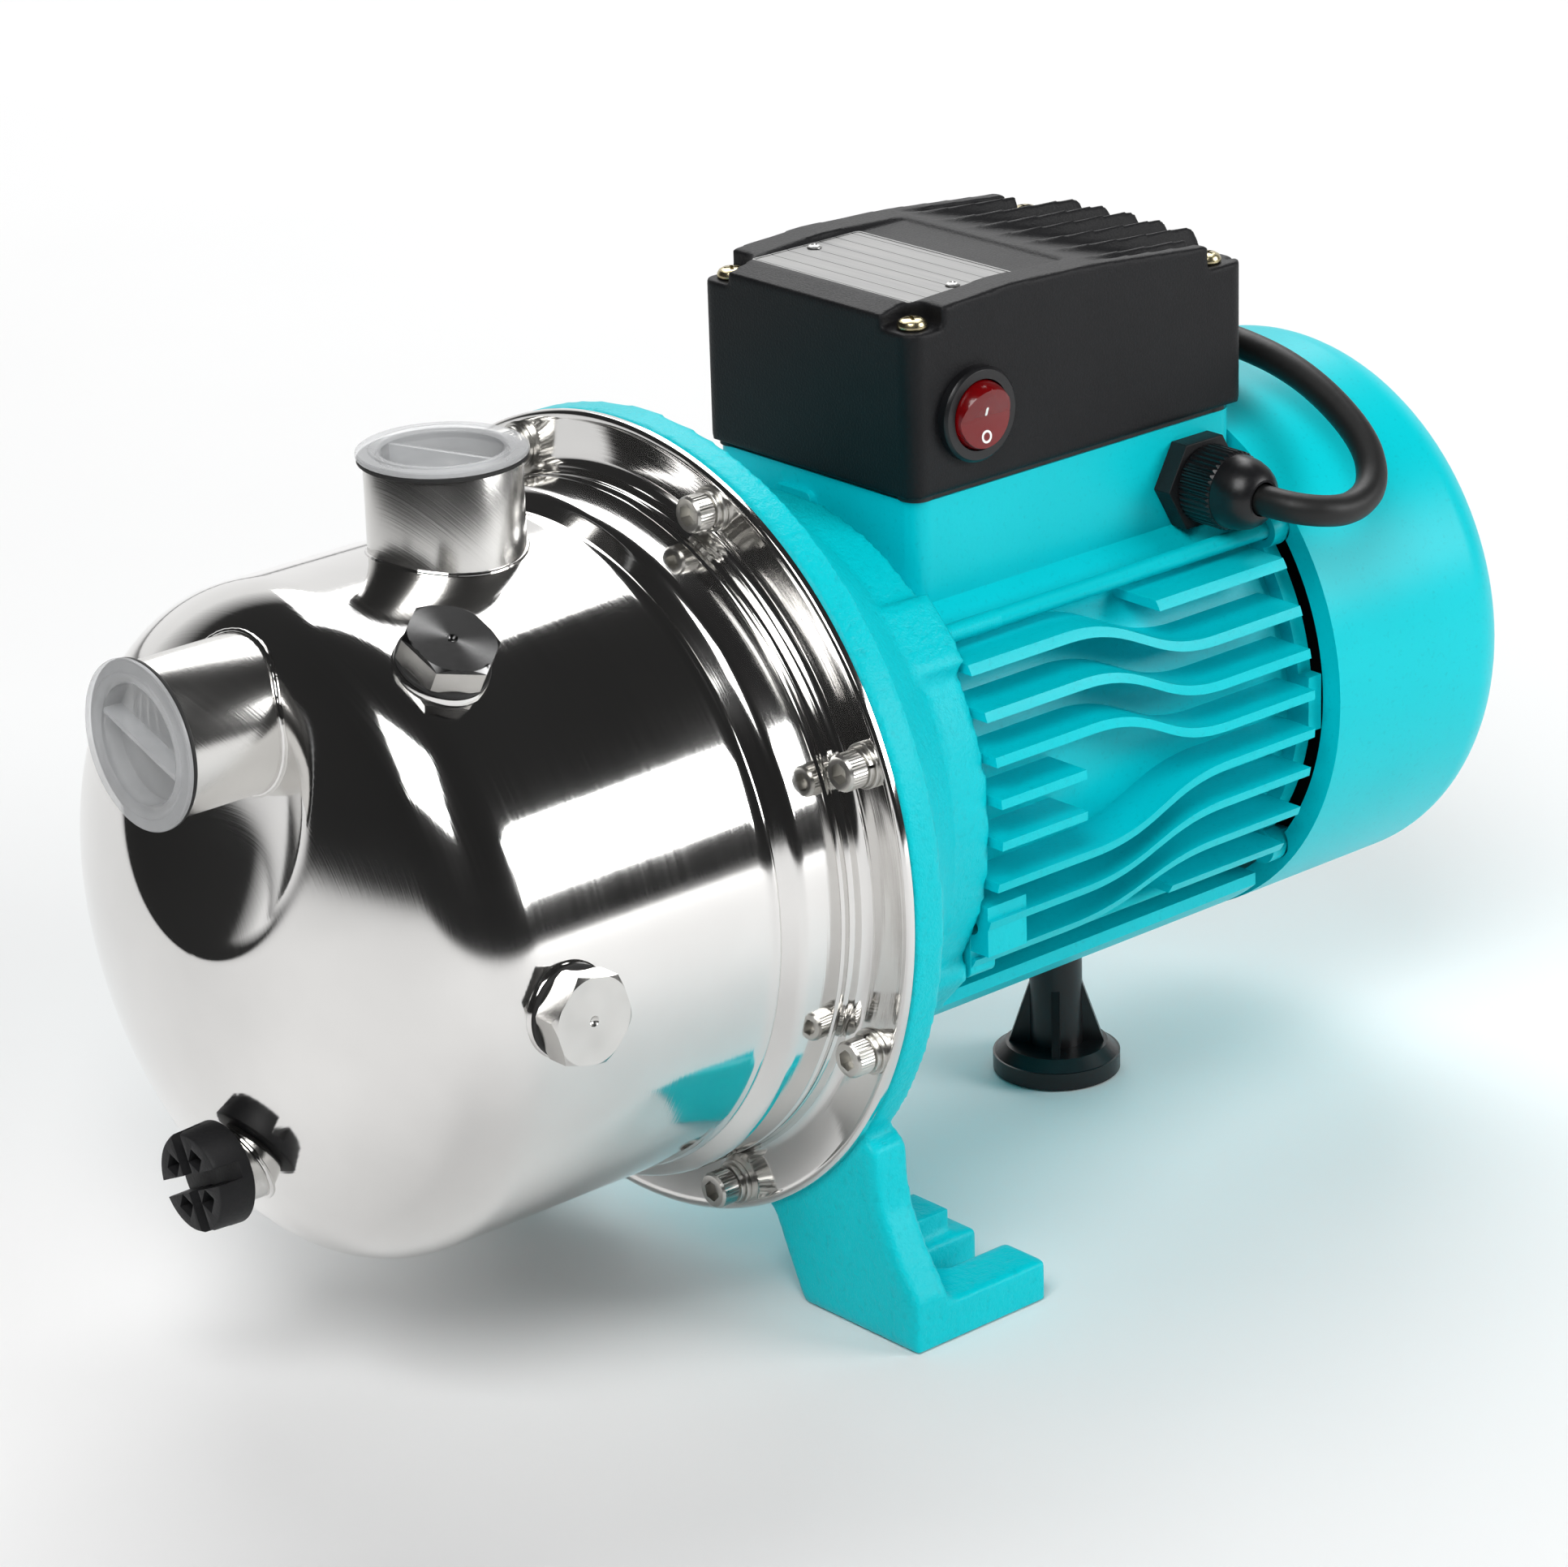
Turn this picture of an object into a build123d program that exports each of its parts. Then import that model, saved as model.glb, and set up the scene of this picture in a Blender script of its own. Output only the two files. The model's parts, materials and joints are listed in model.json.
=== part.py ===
"""Shallow well jet pump: stainless self-priming casing, cast bracket, finned motor, switch box.

Frame: the origin is on the floor, midway between the bolt slots of the two front feet.  +X runs
along the shaft from the pump to the motor fan, +Z is up, and -Y is the side with the switch.
Lengths are in millimetres.  Distances called x below run along the shaft from the joint face,
where the casing flange meets the bracket, and heights z are counted from the shaft.
"""

from math import acos, asin, atan2, copysign, cos, degrees, hypot, pi, radians, sin, sqrt, tan
import os

from build123d import *

os.makedirs("parts", exist_ok=True)

# ---------------------------------------------------------------- driving dimensions
SHAFT_HEIGHT = 121.3      # shaft above the floor
SLOT_SETBACK = 36.0       # bolt slot of the front feet behind the joint face
SLOT_SPREAD = 168.0       # between the two front bolt slots
FIT_GAP = 0.05            # between pieces that are pushed together by hand
SEAT_GAP = 0.02           # between pieces that are pressed or screwed together
RUN_GAP = 0.05            # radial clearance of a running fit

# casing
BARREL_RADIUS = 88.2
SHEET = 2.0               # thickness of the drawn stainless sheet
DOME_FRONT = -140.3       # foremost point of the dome
CROWN_RADIUS = 156.0
KNUCKLE_RADIUS = 24.0
SHOULDER_STEP = 4.8       # how far the stretch that centres on the seal plate stands out
SHOULDER_RADIUS = BARREL_RADIUS + SHOULDER_STEP
SHOULDER_START = -22.0
FLANGE_WIDTH = 15.5
FLANGE_RADIUS = SHOULDER_RADIUS + FLANGE_WIDTH
FLANGE_THICKNESS = 2.0
DISH_RADIUS = 80.0        # pressed pocket behind the suction port
DISH_DEPTH = 13.0
DISH_TILT = 14.7          # degrees above the shaft, seen from the dome's centre

# ports, sockets of one inch pipe thread
SOCKET_RADIUS = 20.0
SOCKET_BORE = 15.15       # crest radius of the internal thread
SOCKET_MOUTH = 17.3       # lead-in that takes the cap's spigot
MOUTH_DEPTH = 6.0
DISCHARGE_X = -54.7
DISCHARGE_LIFT = 22.6     # socket mouth above the barrel
DISCHARGE_DEPTH = 4.0     # how far the socket reaches below the crown of the barrel
DISCHARGE_TOP = BARREL_RADIUS + DISCHARGE_LIFT
SUCTION_HEIGHT = 60.6
SUCTION_FACE = -149.0
SUCTION_ROOT = -116.0
CAP_RADIUS = 21.8
CAP_FLANGE = 1.6
CAP_WALL = 1.6
CAP_GASKET = 1.2
CAP_SPIGOT = 5.0
GRIP_THICKNESS = 1.6

# filler, gauge and drain plugs
HEX_ACROSS = 22.0
HEX_HEAD = 7.6
PLUG_SHANK = 8.3
PLUG_WASHER = 1.5
BOSS_RADIUS = 12.0
BOSS_LIFT = 0.7
BOSS_DEPTH = 8.9
BOSS_TOP = BARREL_RADIUS + BOSS_LIFT
BOSS_ROOT = BOSS_TOP - BOSS_DEPTH
FILLER_X = -92.0
FILLER_ANGLE = 60.0       # above the near horizontal
GAUGE_X = -93.0
DRAIN_DROP = 57.8
DRAIN_FACE = -134.0
DRAIN_ROOT = -125.0
NIPPLE_RADIUS = 9.5
DRAIN_SHANK = 6.0
DRAIN_HEAD_RADIUS = 13.5
DRAIN_HEAD = 10.4
DRAIN_SEAL = 1.2

# flange joint
FLANGE_BOLTS = 8
BOLT_EDGE = 7.5           # bolt axis inside the flange's rim
BOLT_CIRCLE = FLANGE_RADIUS - BOLT_EDGE
M6_RADIUS = 2.95
M6_HEAD_RADIUS = 4.9
M6_HEAD = 6.0
M6_SOCKET = 5.0
M6_LENGTH = 16.0
WASHER_RADIUS = 6.0
WASHER = 1.2
SPRING_WASHER_RADIUS = 5.2
SPRING_WASHER = 1.5

# pump internals
IMPELLER_RADIUS = 62.0
IMPELLER_EYE = 18.0
IMPELLER_FRONT = -30.0
IMPELLER_BACK = -13.0
SHROUD = 2.0
IMPELLER_VANES = 6
HUB_RADIUS = 11.0
NUT_ACROSS = 13.0
NUT_LENGTH = 6.0
EJECTOR_FRONT = -112.0
EJECTOR_BACK = -84.0
EJECTOR_BORE = 13.0
EJECTOR_WALL = 4.0
VENTURI_THROAT = 6.0
DIFFUSER_RADIUS = 80.0
DIFFUSER_FRONT = -36.0
DIFFUSER_VANES = 8
NOZZLE_SEAT = 10.0
NOZZLE_TIP = 3.5
SEAL_HOLE = 13.0

# shaft and bearings
STUB_RADIUS = 4.0
IMPELLER_SEAT = 6.0
SEAL_SEAT = 8.0
BEARING_BORE = 8.5
BEARING_RADIUS = 20.0
BEARING_WIDTH = 12.0
BALL_RADIUS = 3.4
BALL_COUNT = 8
RACE_WALL = 3.6
ROTOR_SEAT = 11.0
FRONT_BEARING = 44.0
REAR_BEARING_INSET = 7.0
FAN_SEAT = 7.0
SHAFT_TAIL = 5.0          # beyond the fan

# bracket
BRACKET_STEP = 0.1        # painted rim inside the flange's rim
BRACKET_RADIUS = FLANGE_RADIUS - BRACKET_STEP
BRACKET_FRONT = 2.0
BRACKET_RIM = 12.0
BELL_RADIUS = 76.0
BRACKET_BACK = 60.0
EAR_RADIUS = 8.0
EAR_WIDTH = 22.0
EAR_START = 40.0
TIE_SPREAD = 54.0
TIE_HEIGHT = 46.5
TIE_RADIUS = 2.5
FOOT_OUTER = 105.0
FOOT_INNER = 61.0
FOOT_BACK = 49.4
PAD_THICKNESS = 11.0
FOOT_WEB = 12.0
SLOT_WIDTH = 11.0

# motor
MOTOR_START = 60.0
MOTOR_END = 183.0
BODY_RADIUS = 64.0
STATOR_RADIUS = 60.0
STATOR_BORE = 31.0
STACK_START = 75.0
STACK_END = 165.0
AIR_GAP = 0.4
SLOT_COUNT = 12
STATOR_SLOT_CIRCLE = 45.0
STATOR_SLOT = 4.5
COIL_OVERHANG = 11.5
COIL_OUTER = 55.0
COIL_INNER = 36.0
FIN_RADIUS = 78.3
FIN_THICKNESS = 2.6
FIN_START = 61.0
FIN_MARGIN = 4.0
FIN_END = MOTOR_END - FIN_MARGIN
FIN_PITCH = 12.0
STEP_START = 96.0         # the fins step over by one pitch between these two
STEP_END = 146.0
BELLY_WALL = 4.0
PEDESTAL_START = 68.0
PEDESTAL_OVERHANG = 4.0
PEDESTAL_END = MOTOR_END + PEDESTAL_OVERHANG
PEDESTAL_HALF = 40.0
PEDESTAL_TOP = 78.0
PEDESTAL_WALL = 3.5
PEDESTAL_CORNER = 5.5
PEDESTAL_FLOOR = 64.3     # flat seat under the box, above the shaft
SHIELD_DEPTH = 5.0
SHIELD_END = MOTOR_END + SHIELD_DEPTH
SHIELD_RADIUS = 68.5

# fan and cover
COVER_RADIUS = 78.5
COVER_LENGTH = 73.3
COVER_GAP = 0.7
COVER_START = SHIELD_END + COVER_GAP
COVER_END = COVER_START + COVER_LENGTH
COVER_WALL = 2.0
COVER_LIP = 72.0
COVER_EDGE = 16.0
FAN_SETBACK = 17.0
FAN_START = SHIELD_END + FAN_SETBACK
FAN_WIDTH = 28.0
FAN_RADIUS = 66.0
REAR_BEARING = MOTOR_END - REAR_BEARING_INSET
SHAFT_END = FAN_START + FAN_WIDTH + SHAFT_TAIL
FAN_BLADES = 8

# switch box
BOX_START = 66.0
BOX_OVERHANG = 3.0
BOX_END = PEDESTAL_END + BOX_OVERHANG
BOX_HALF = 41.5
BOX_WALL = 2.5
BOX_FRONT_TOP = 127.5
BOX_CREST = 131.0
BOX_REAR_TOP = 124.0
GASKET = 1.5
PLATE_THICKNESS = 0.5
SWITCH_X = 87.8
SWITCH_Z = 99.0
BEZEL_RADIUS = 12.85
BEZEL_THICKNESS = 3.0
BUTTON_RADIUS = 9.3
SWITCH_BODY = 9.9
BUTTON_TILT = 7.0
CAPACITOR_RADIUS = 17.0
CAPACITOR_LENGTH = 70.0

# cable gland and cord
GLAND_X = 169.2
GLAND_Z = 61.7
GLAND_HEX = 24.0
GLAND_BASE = 6.0
GLAND_NUT = 11.0
GLAND_TIP = 68.0
GLAND_THREAD = 8.0
LOCKNUT_RADIUS = 10.6
CORD_RADIUS = 4.3
COIL_X = 75.0
COIL_Y = 165.0
COIL_RADIUS = 47.0
COIL_TURNS = 3.4
COIL_LAYERS = 2

# rear foot
POST_X = 155.0
POST_BASE = 18.3
POST_RADIUS = 7.6

# ---------------------------------------------------------------- datums
JOINT_X = -SLOT_SETBACK
FLOOR = -SHAFT_HEIGHT
SHAFT = Axis((JOINT_X, 0, SHAFT_HEIGHT), (1, 0, 0))
BOX_BASE = PEDESTAL_TOP + GASKET
BOX_MIDDLE = (BOX_START + BOX_END) / 2
BOX_LENGTH = BOX_END - BOX_START
BOX_CORNER = 5.0
SCREW_INSET = 6.2
FRONT_POCKET = 3.5         # depth of the screw pockets below the edges of the box
REAR_POCKET = 4.8
BOX_SCREW_ROWS = [
    (BOX_START + SCREW_INSET, BOX_FRONT_TOP - FRONT_POCKET),
    (PEDESTAL_END - SCREW_INSET, BOX_REAR_TOP - REAR_POCKET),
]
BOX_SCREW_SIDES = [hand * (BOX_HALF - SCREW_INSET) for hand in (-1, 1)]
BOX_SCREWS = [(x, y) for x, seat in BOX_SCREW_ROWS for y in BOX_SCREW_SIDES]
BOX_SCREW = 1.9
SCREW_POST = 5.0


def face(x, turn=0.0):
    """Plane square to the shaft, x behind the joint face: its X is the far side, its Y is up."""
    across = (0, cos(radians(turn)), sin(radians(turn)))
    return Plane((JOINT_X + x, 0, SHAFT_HEIGHT), x_dir=across, z_dir=(1, 0, 0))


def section(y=0.0):
    """Upright plane along the shaft: its X is x, its Y is the height z, its normal is -Y."""
    return Plane((JOINT_X, y, SHAFT_HEIGHT), x_dir=(1, 0, 0), z_dir=(0, -1, 0))


def level(z):
    """Level plane at height z above the shaft: its X is x, its Y is the far side."""
    return Plane((JOINT_X, 0, SHAFT_HEIGHT + z), x_dir=(1, 0, 0), z_dir=(0, 0, 1))


def spoke(x, angle, radius):
    """Plane square to a radius of the shaft; angle counts from the near horizontal upwards."""
    out = (0, -cos(radians(angle)), sin(radians(angle)))
    centre = (JOINT_X + x, out[1] * radius, SHAFT_HEIGHT + out[2] * radius)
    return Plane(centre, x_dir=(1, 0, 0), z_dir=out)


def drum(start, end, outer, inner=0.0):
    """A ring or disc on the shaft."""
    with BuildPart() as piece:
        with BuildSketch(face(start)):
            Circle(outer)
            if inner > 0:
                Circle(inner, mode=Mode.SUBTRACT)
        extrude(amount=end - start)
    return piece


def lathe(points):
    """A closed outline of (x, radius) corners turned about the shaft."""
    with BuildPart() as piece:
        with BuildSketch(section()):
            with BuildLine():
                Polyline(*points, close=True)
            make_face()
        revolve(axis=SHAFT)
    return piece


def peg(plane, depth, radius, inner=0.0):
    """A round peg or sleeve that starts on a plane and runs along its normal."""
    with BuildPart() as piece:
        with BuildSketch(plane):
            Circle(radius)
            if inner > 0:
                Circle(inner, mode=Mode.SUBTRACT)
        extrude(amount=depth)
    return piece


def save(piece, name):
    """Label a finished piece and write it as its own STEP file."""
    piece.part.label = name
    export_step(piece.part, f"parts/{name}.step")


# ---------------------------------------------------------------- casing
def casing_outline(offset):
    """Corners of the drawn shell's outline, moved inwards by offset."""
    crown = CROWN_RADIUS - offset
    knuckle = KNUCKLE_RADIUS - offset
    barrel = BARREL_RADIUS - offset
    front = DOME_FRONT + offset
    centre = front + crown
    rise = barrel - knuckle
    reach = sqrt((crown - knuckle) ** 2 - rise ** 2)
    bend = atan2(rise, reach)
    tangent = (centre - crown * cos(bend), crown * sin(bend))
    half = bend / 2
    middle = (centre - crown * cos(half), crown * sin(half))
    knuckle_x = centre - reach
    turn = (bend + pi / 2) / 2
    knee = (knuckle_x - knuckle * cos(turn), rise + knuckle * sin(turn))
    return (front, 0), middle, tangent, knee, (knuckle_x, barrel)


def shell(offset, back, shoulder):
    """Solid inside the casing outline, out to the shoulder and back to a plane."""
    nose, middle, tangent, knee, barrel_start = casing_outline(offset)
    with BuildPart() as piece:
        with BuildSketch(section()):
            with BuildLine():
                ThreePointArc(nose, middle, tangent)
                ThreePointArc(tangent, knee, barrel_start)
                Polyline(
                    barrel_start,
                    (SHOULDER_START - 4, barrel_start[1]),
                    (SHOULDER_START + offset, shoulder),
                    (back, shoulder),
                    (back, 0),
                    nose,
                )
            make_face()
        revolve(axis=SHAFT)
    return piece


DOME_CENTRE = DOME_FRONT + CROWN_RADIUS
DISH_REACH = CROWN_RADIUS - DISH_DEPTH + DISH_RADIUS
DISH_CENTRE = (
    JOINT_X + DOME_CENTRE - DISH_REACH * cos(radians(DISH_TILT)),
    0,
    SHAFT_HEIGHT + DISH_REACH * sin(radians(DISH_TILT)),
)

with BuildPart() as casing_cavity:
    add(shell(SHEET, BRACKET_FRONT + 1, SHOULDER_RADIUS - SHEET).part)
    with Locations(DISH_CENTRE):
        Sphere(DISH_RADIUS + SHEET, mode=Mode.SUBTRACT)

with BuildPart() as pump_casing:
    add(shell(0, FLANGE_THICKNESS, SHOULDER_RADIUS).part)
    add(drum(0, FLANGE_THICKNESS, FLANGE_RADIUS).part)
    with Locations(DISH_CENTRE):
        Sphere(DISH_RADIUS, mode=Mode.SUBTRACT)
    add(casing_cavity.part, mode=Mode.SUBTRACT)
    for x, angle in ((FILLER_X, FILLER_ANGLE), (GAUGE_X, 0.0)):
        with BuildSketch(spoke(x, angle, BOSS_ROOT)):
            Circle(BOSS_RADIUS)
        extrude(amount=BOSS_TOP - BOSS_ROOT)
        with BuildSketch(spoke(x, angle, BOSS_ROOT)):
            Circle(PLUG_SHANK + RUN_GAP)
        extrude(amount=2 * KNUCKLE_RADIUS, mode=Mode.SUBTRACT)
    with BuildSketch(level(BARREL_RADIUS - 16)):
        with Locations((DISCHARGE_X, 0)):
            Circle(SOCKET_RADIUS + SEAT_GAP)
    extrude(amount=60, mode=Mode.SUBTRACT)
    with BuildSketch(face(SUCTION_FACE)):
        with Locations((0, SUCTION_HEIGHT)):
            Circle(SOCKET_RADIUS + SEAT_GAP)
        with Locations((0, -DRAIN_DROP)):
            Circle(NIPPLE_RADIUS + SEAT_GAP)
    extrude(amount=SUCTION_ROOT - SUCTION_FACE, mode=Mode.SUBTRACT)
    with BuildSketch(face(-1)):
        with PolarLocations(BOLT_CIRCLE, FLANGE_BOLTS, start_angle=22.5):
            Circle(M6_RADIUS + 0.3)
    extrude(amount=FLANGE_THICKNESS + 2, mode=Mode.SUBTRACT)
save(pump_casing, "pump_casing")


# ---------------------------------------------------------------- ports and their transit caps
def pipe_socket(plane, length):
    """Threaded socket whose mouth is on the plane, running back against its normal."""
    with BuildPart() as piece:
        with BuildSketch(plane):
            Circle(SOCKET_RADIUS)
            Circle(SOCKET_BORE, mode=Mode.SUBTRACT)
        extrude(amount=-length)
        with BuildSketch(plane):
            Circle(SOCKET_MOUTH)
        extrude(amount=-MOUTH_DEPTH, mode=Mode.SUBTRACT)
    return piece


def port_cap(plane):
    """Push-in cap: a thin flange over the mouth, a cup inside it and a finger bar across."""
    spigot = SOCKET_MOUTH - 0.3
    with BuildPart() as piece:
        with BuildSketch(plane.offset(CAP_GASKET)):
            Circle(CAP_RADIUS)
        extrude(amount=CAP_FLANGE)
        with BuildSketch(plane.offset(CAP_GASKET)):
            Circle(spigot)
        extrude(amount=-CAP_GASKET - CAP_SPIGOT)
        with BuildSketch(plane.offset(CAP_GASKET + CAP_FLANGE)):
            Circle(spigot - CAP_WALL)
        extrude(amount=-(CAP_FLANGE + CAP_GASKET + CAP_SPIGOT - CAP_WALL), mode=Mode.SUBTRACT)
        with BuildSketch(plane.offset(CAP_GASKET + CAP_FLANGE)):
            Rectangle(GRIP_THICKNESS, 2 * (spigot - CAP_WALL / 2))
        extrude(amount=-(CAP_FLANGE + CAP_GASKET + CAP_SPIGOT))
    return piece


SUCTION_MOUTH = Plane(
    (JOINT_X + SUCTION_FACE, 0, SHAFT_HEIGHT + SUCTION_HEIGHT), x_dir=(0, -0.36, 1), z_dir=(-1, 0, 0)
)
DISCHARGE_MOUTH = Plane(
    (JOINT_X + DISCHARGE_X, 0, SHAFT_HEIGHT + DISCHARGE_TOP), x_dir=(1, 0.34, 0), z_dir=(0, 0, 1)
)
save(pipe_socket(SUCTION_MOUTH, SUCTION_ROOT - SUCTION_FACE), "suction_socket")
save(pipe_socket(DISCHARGE_MOUTH, DISCHARGE_LIFT + DISCHARGE_DEPTH), "discharge_socket")
save(port_cap(SUCTION_MOUTH), "suction_cap")
save(port_cap(DISCHARGE_MOUTH), "discharge_cap")
for mouth, name in ((SUCTION_MOUTH, "suction_cap_gasket"), (DISCHARGE_MOUTH, "discharge_cap_gasket")):
    save(peg(mouth, CAP_GASKET, CAP_RADIUS - 0.4, SOCKET_MOUTH), name)


# ---------------------------------------------------------------- filler, gauge and drain plugs
def hex_plug(x, angle):
    """Hexagon plug with a turned face and a centre dimple, screwed into a casing boss."""
    seat = BOSS_TOP + PLUG_WASHER
    with BuildPart() as piece:
        with BuildSketch(spoke(x, angle, seat)):
            RegularPolygon(HEX_ACROSS / 2, 6, major_radius=False)
        extrude(amount=HEX_HEAD)
        chamfer(piece.faces().sort_by(Axis((0, 0, 0), spoke(x, angle, 0).z_dir))[-1].edges(), 0.8)
        with BuildSketch(spoke(x, angle, seat)):
            Circle(PLUG_SHANK)
        extrude(amount=-(seat - BOSS_ROOT))
        with BuildSketch(spoke(x, angle, seat + HEX_HEAD)):
            Circle(1.2)
        extrude(amount=-0.8, mode=Mode.SUBTRACT)
    return piece


for x, angle, name in ((FILLER_X, FILLER_ANGLE, "filler_plug"), (GAUGE_X, 0.0, "gauge_plug")):
    save(hex_plug(x, angle), name)
    save(peg(spoke(x, angle, BOSS_TOP), PLUG_WASHER, BOSS_RADIUS, PLUG_SHANK + RUN_GAP), name + "_washer")

DRAIN_SEAT = Plane(
    (JOINT_X + DRAIN_FACE, 0, SHAFT_HEIGHT - DRAIN_DROP), x_dir=(0, -1, 0), z_dir=(-1, 0, 0)
)
NIPPLE_LENGTH = DRAIN_ROOT - DRAIN_FACE
save(peg(DRAIN_SEAT, -NIPPLE_LENGTH, NIPPLE_RADIUS, DRAIN_SHANK + RUN_GAP), "drain_nipple")
save(peg(DRAIN_SEAT, DRAIN_SEAL, NIPPLE_RADIUS, DRAIN_SHANK + RUN_GAP), "drain_seal")

with BuildPart() as drain_plug:
    with BuildSketch(DRAIN_SEAT.offset(DRAIN_SEAL)):
        Circle(DRAIN_HEAD_RADIUS)
    extrude(amount=DRAIN_HEAD)
    with BuildSketch(DRAIN_SEAT.offset(DRAIN_SEAL)):
        Circle(DRAIN_SHANK)
    extrude(amount=-DRAIN_SEAL - NIPPLE_LENGTH)
    with BuildSketch(DRAIN_SEAT.offset(DRAIN_SEAL + DRAIN_HEAD)):
        with Locations((0, 0)):
            Rectangle(4.5, 3 * DRAIN_HEAD_RADIUS, rotation=25)
            Rectangle(3 * DRAIN_HEAD_RADIUS, 4.5, rotation=25)
        with PolarLocations(8.4, 4, start_angle=70):
            Rectangle(5.2, 5.2, rotation=45)
    extrude(amount=-7, mode=Mode.SUBTRACT)
save(drain_plug, "drain_plug")

# ---------------------------------------------------------------- flange joint
SCREW_SEAT = -WASHER - SPRING_WASHER


def on_bolt_circle(start, depth, outer, inner=0.0):
    """The same ring or peg at each flange bolt."""
    with BuildPart() as piece:
        with BuildSketch(face(start)):
            with PolarLocations(BOLT_CIRCLE, FLANGE_BOLTS, start_angle=22.5):
                Circle(outer)
                if inner > 0:
                    Circle(inner, mode=Mode.SUBTRACT)
        extrude(amount=depth)
    return piece


with BuildPart() as flange_screws:
    add(on_bolt_circle(SCREW_SEAT - M6_HEAD, M6_HEAD, M6_HEAD_RADIUS).part)
    add(on_bolt_circle(SCREW_SEAT, M6_LENGTH, M6_RADIUS).part)
    with BuildSketch(face(SCREW_SEAT - M6_HEAD)):
        with PolarLocations(BOLT_CIRCLE, FLANGE_BOLTS, start_angle=22.5):
            RegularPolygon(M6_SOCKET / 2, 6, major_radius=False)
    extrude(amount=3.2, mode=Mode.SUBTRACT)
save(flange_screws, "flange_screws")
save(on_bolt_circle(-WASHER, WASHER, WASHER_RADIUS, M6_RADIUS + 0.3), "flange_washers")
save(
    on_bolt_circle(SCREW_SEAT, SPRING_WASHER, SPRING_WASHER_RADIUS, M6_RADIUS + 0.2),
    "flange_spring_washers",
)

# ---------------------------------------------------------------- seal plate and its seals
PLATE_FRONT = -2.0
PLATE_RADIUS = SHOULDER_RADIUS - SHEET - 0.6
RING_SECTION = 1.9
with BuildPart() as seal_plate:
    add(drum(PLATE_FRONT, BRACKET_FRONT, PLATE_RADIUS, SEAL_HOLE + SEAT_GAP).part)
    add(drum(PLATE_FRONT - 1, BRACKET_FRONT + 3, SEAL_HOLE + 4, SEAL_HOLE + SEAT_GAP).part)
save(seal_plate, "seal_plate")

RING_CENTRE = (PLATE_FRONT - RING_SECTION - SEAT_GAP, SHOULDER_RADIUS - SHEET - RING_SECTION - SEAT_GAP)
with BuildPart() as casing_o_ring:
    with BuildSketch(section()):
        with Locations(RING_CENTRE):
            Circle(RING_SECTION)
    revolve(axis=SHAFT)
save(casing_o_ring, "casing_o_ring")

SEAL_FACE = -4.0
save(drum(SEAL_FACE, BRACKET_FRONT + 2, SEAL_HOLE, SEAL_SEAT + 1), "seal_seat")
with BuildPart() as seal_rotor:
    add(drum(IMPELLER_BACK + SEAT_GAP, SEAL_FACE - 0.1, SEAL_SEAT + 3, SEAL_SEAT + SEAT_GAP).part)
    add(drum(SEAL_FACE - 3, SEAL_FACE - 0.1, SEAL_HOLE, SEAL_SEAT + SEAT_GAP).part)
save(seal_rotor, "seal_rotor")

# ---------------------------------------------------------------- impeller, diffuser and ejector
VANE_START = HUB_RADIUS + 6.0
VANE_THICKNESS = 2.2
with BuildPart() as impeller:
    add(drum(IMPELLER_BACK - SHROUD, IMPELLER_BACK, IMPELLER_RADIUS, IMPELLER_SEAT + SEAT_GAP).part)
    add(drum(IMPELLER_FRONT, IMPELLER_BACK, HUB_RADIUS, IMPELLER_SEAT + SEAT_GAP).part)
    add(drum(IMPELLER_FRONT, IMPELLER_FRONT + SHROUD, IMPELLER_RADIUS, IMPELLER_EYE).part)
    for number in range(IMPELLER_VANES):
        with BuildSketch(face(IMPELLER_FRONT + SHROUD / 2, 360 / IMPELLER_VANES * number)):
            with BuildLine():
                inner = ThreePointArc(
                    (VANE_START, 0),
                    (0.7 * IMPELLER_RADIUS, 0.25 * IMPELLER_RADIUS),
                    (0.62 * IMPELLER_RADIUS, 0.76 * IMPELLER_RADIUS),
                )
                offset(inner, VANE_THICKNESS / 2, side=Side.BOTH)
            make_face()
        extrude(amount=IMPELLER_BACK - IMPELLER_FRONT - SHROUD)
save(impeller, "impeller")

with BuildPart() as impeller_nut:
    with BuildSketch(face(IMPELLER_FRONT - NUT_LENGTH)):
        RegularPolygon(NUT_ACROSS / 2, 6, major_radius=False)
        Circle(STUB_RADIUS + SEAT_GAP, mode=Mode.SUBTRACT)
    extrude(amount=NUT_LENGTH)
save(impeller_nut, "impeller_nut")

EJECTOR_RADIUS = EJECTOR_BORE + EJECTOR_WALL
VENTURI_RADIUS = EJECTOR_RADIUS + 3.0
VENTURI_END = DIFFUSER_FRONT + 3
DIFFUSER_BACK = PLATE_FRONT - FIT_GAP
with BuildPart() as diffuser:
    add(drum(DIFFUSER_FRONT, DIFFUSER_FRONT + 3, DIFFUSER_RADIUS, VENTURI_RADIUS + FIT_GAP).part)
    add(drum(DIFFUSER_FRONT, DIFFUSER_BACK, DIFFUSER_RADIUS, DIFFUSER_RADIUS - 3).part)
    with BuildSketch(face(DIFFUSER_FRONT)):
        with PolarLocations(0.5 * (DIFFUSER_RADIUS + IMPELLER_RADIUS) + 1, DIFFUSER_VANES):
            Rectangle(DIFFUSER_RADIUS - IMPELLER_RADIUS - 5, 3, rotation=35)
    extrude(amount=DIFFUSER_BACK - DIFFUSER_FRONT)
    with BuildSketch(face(DIFFUSER_BACK - 8)):
        with PolarLocations(DIFFUSER_RADIUS, DIFFUSER_VANES, start_angle=22.5):
            Rectangle(8, 14)
    extrude(amount=9, mode=Mode.SUBTRACT)
save(diffuser, "diffuser")

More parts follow.
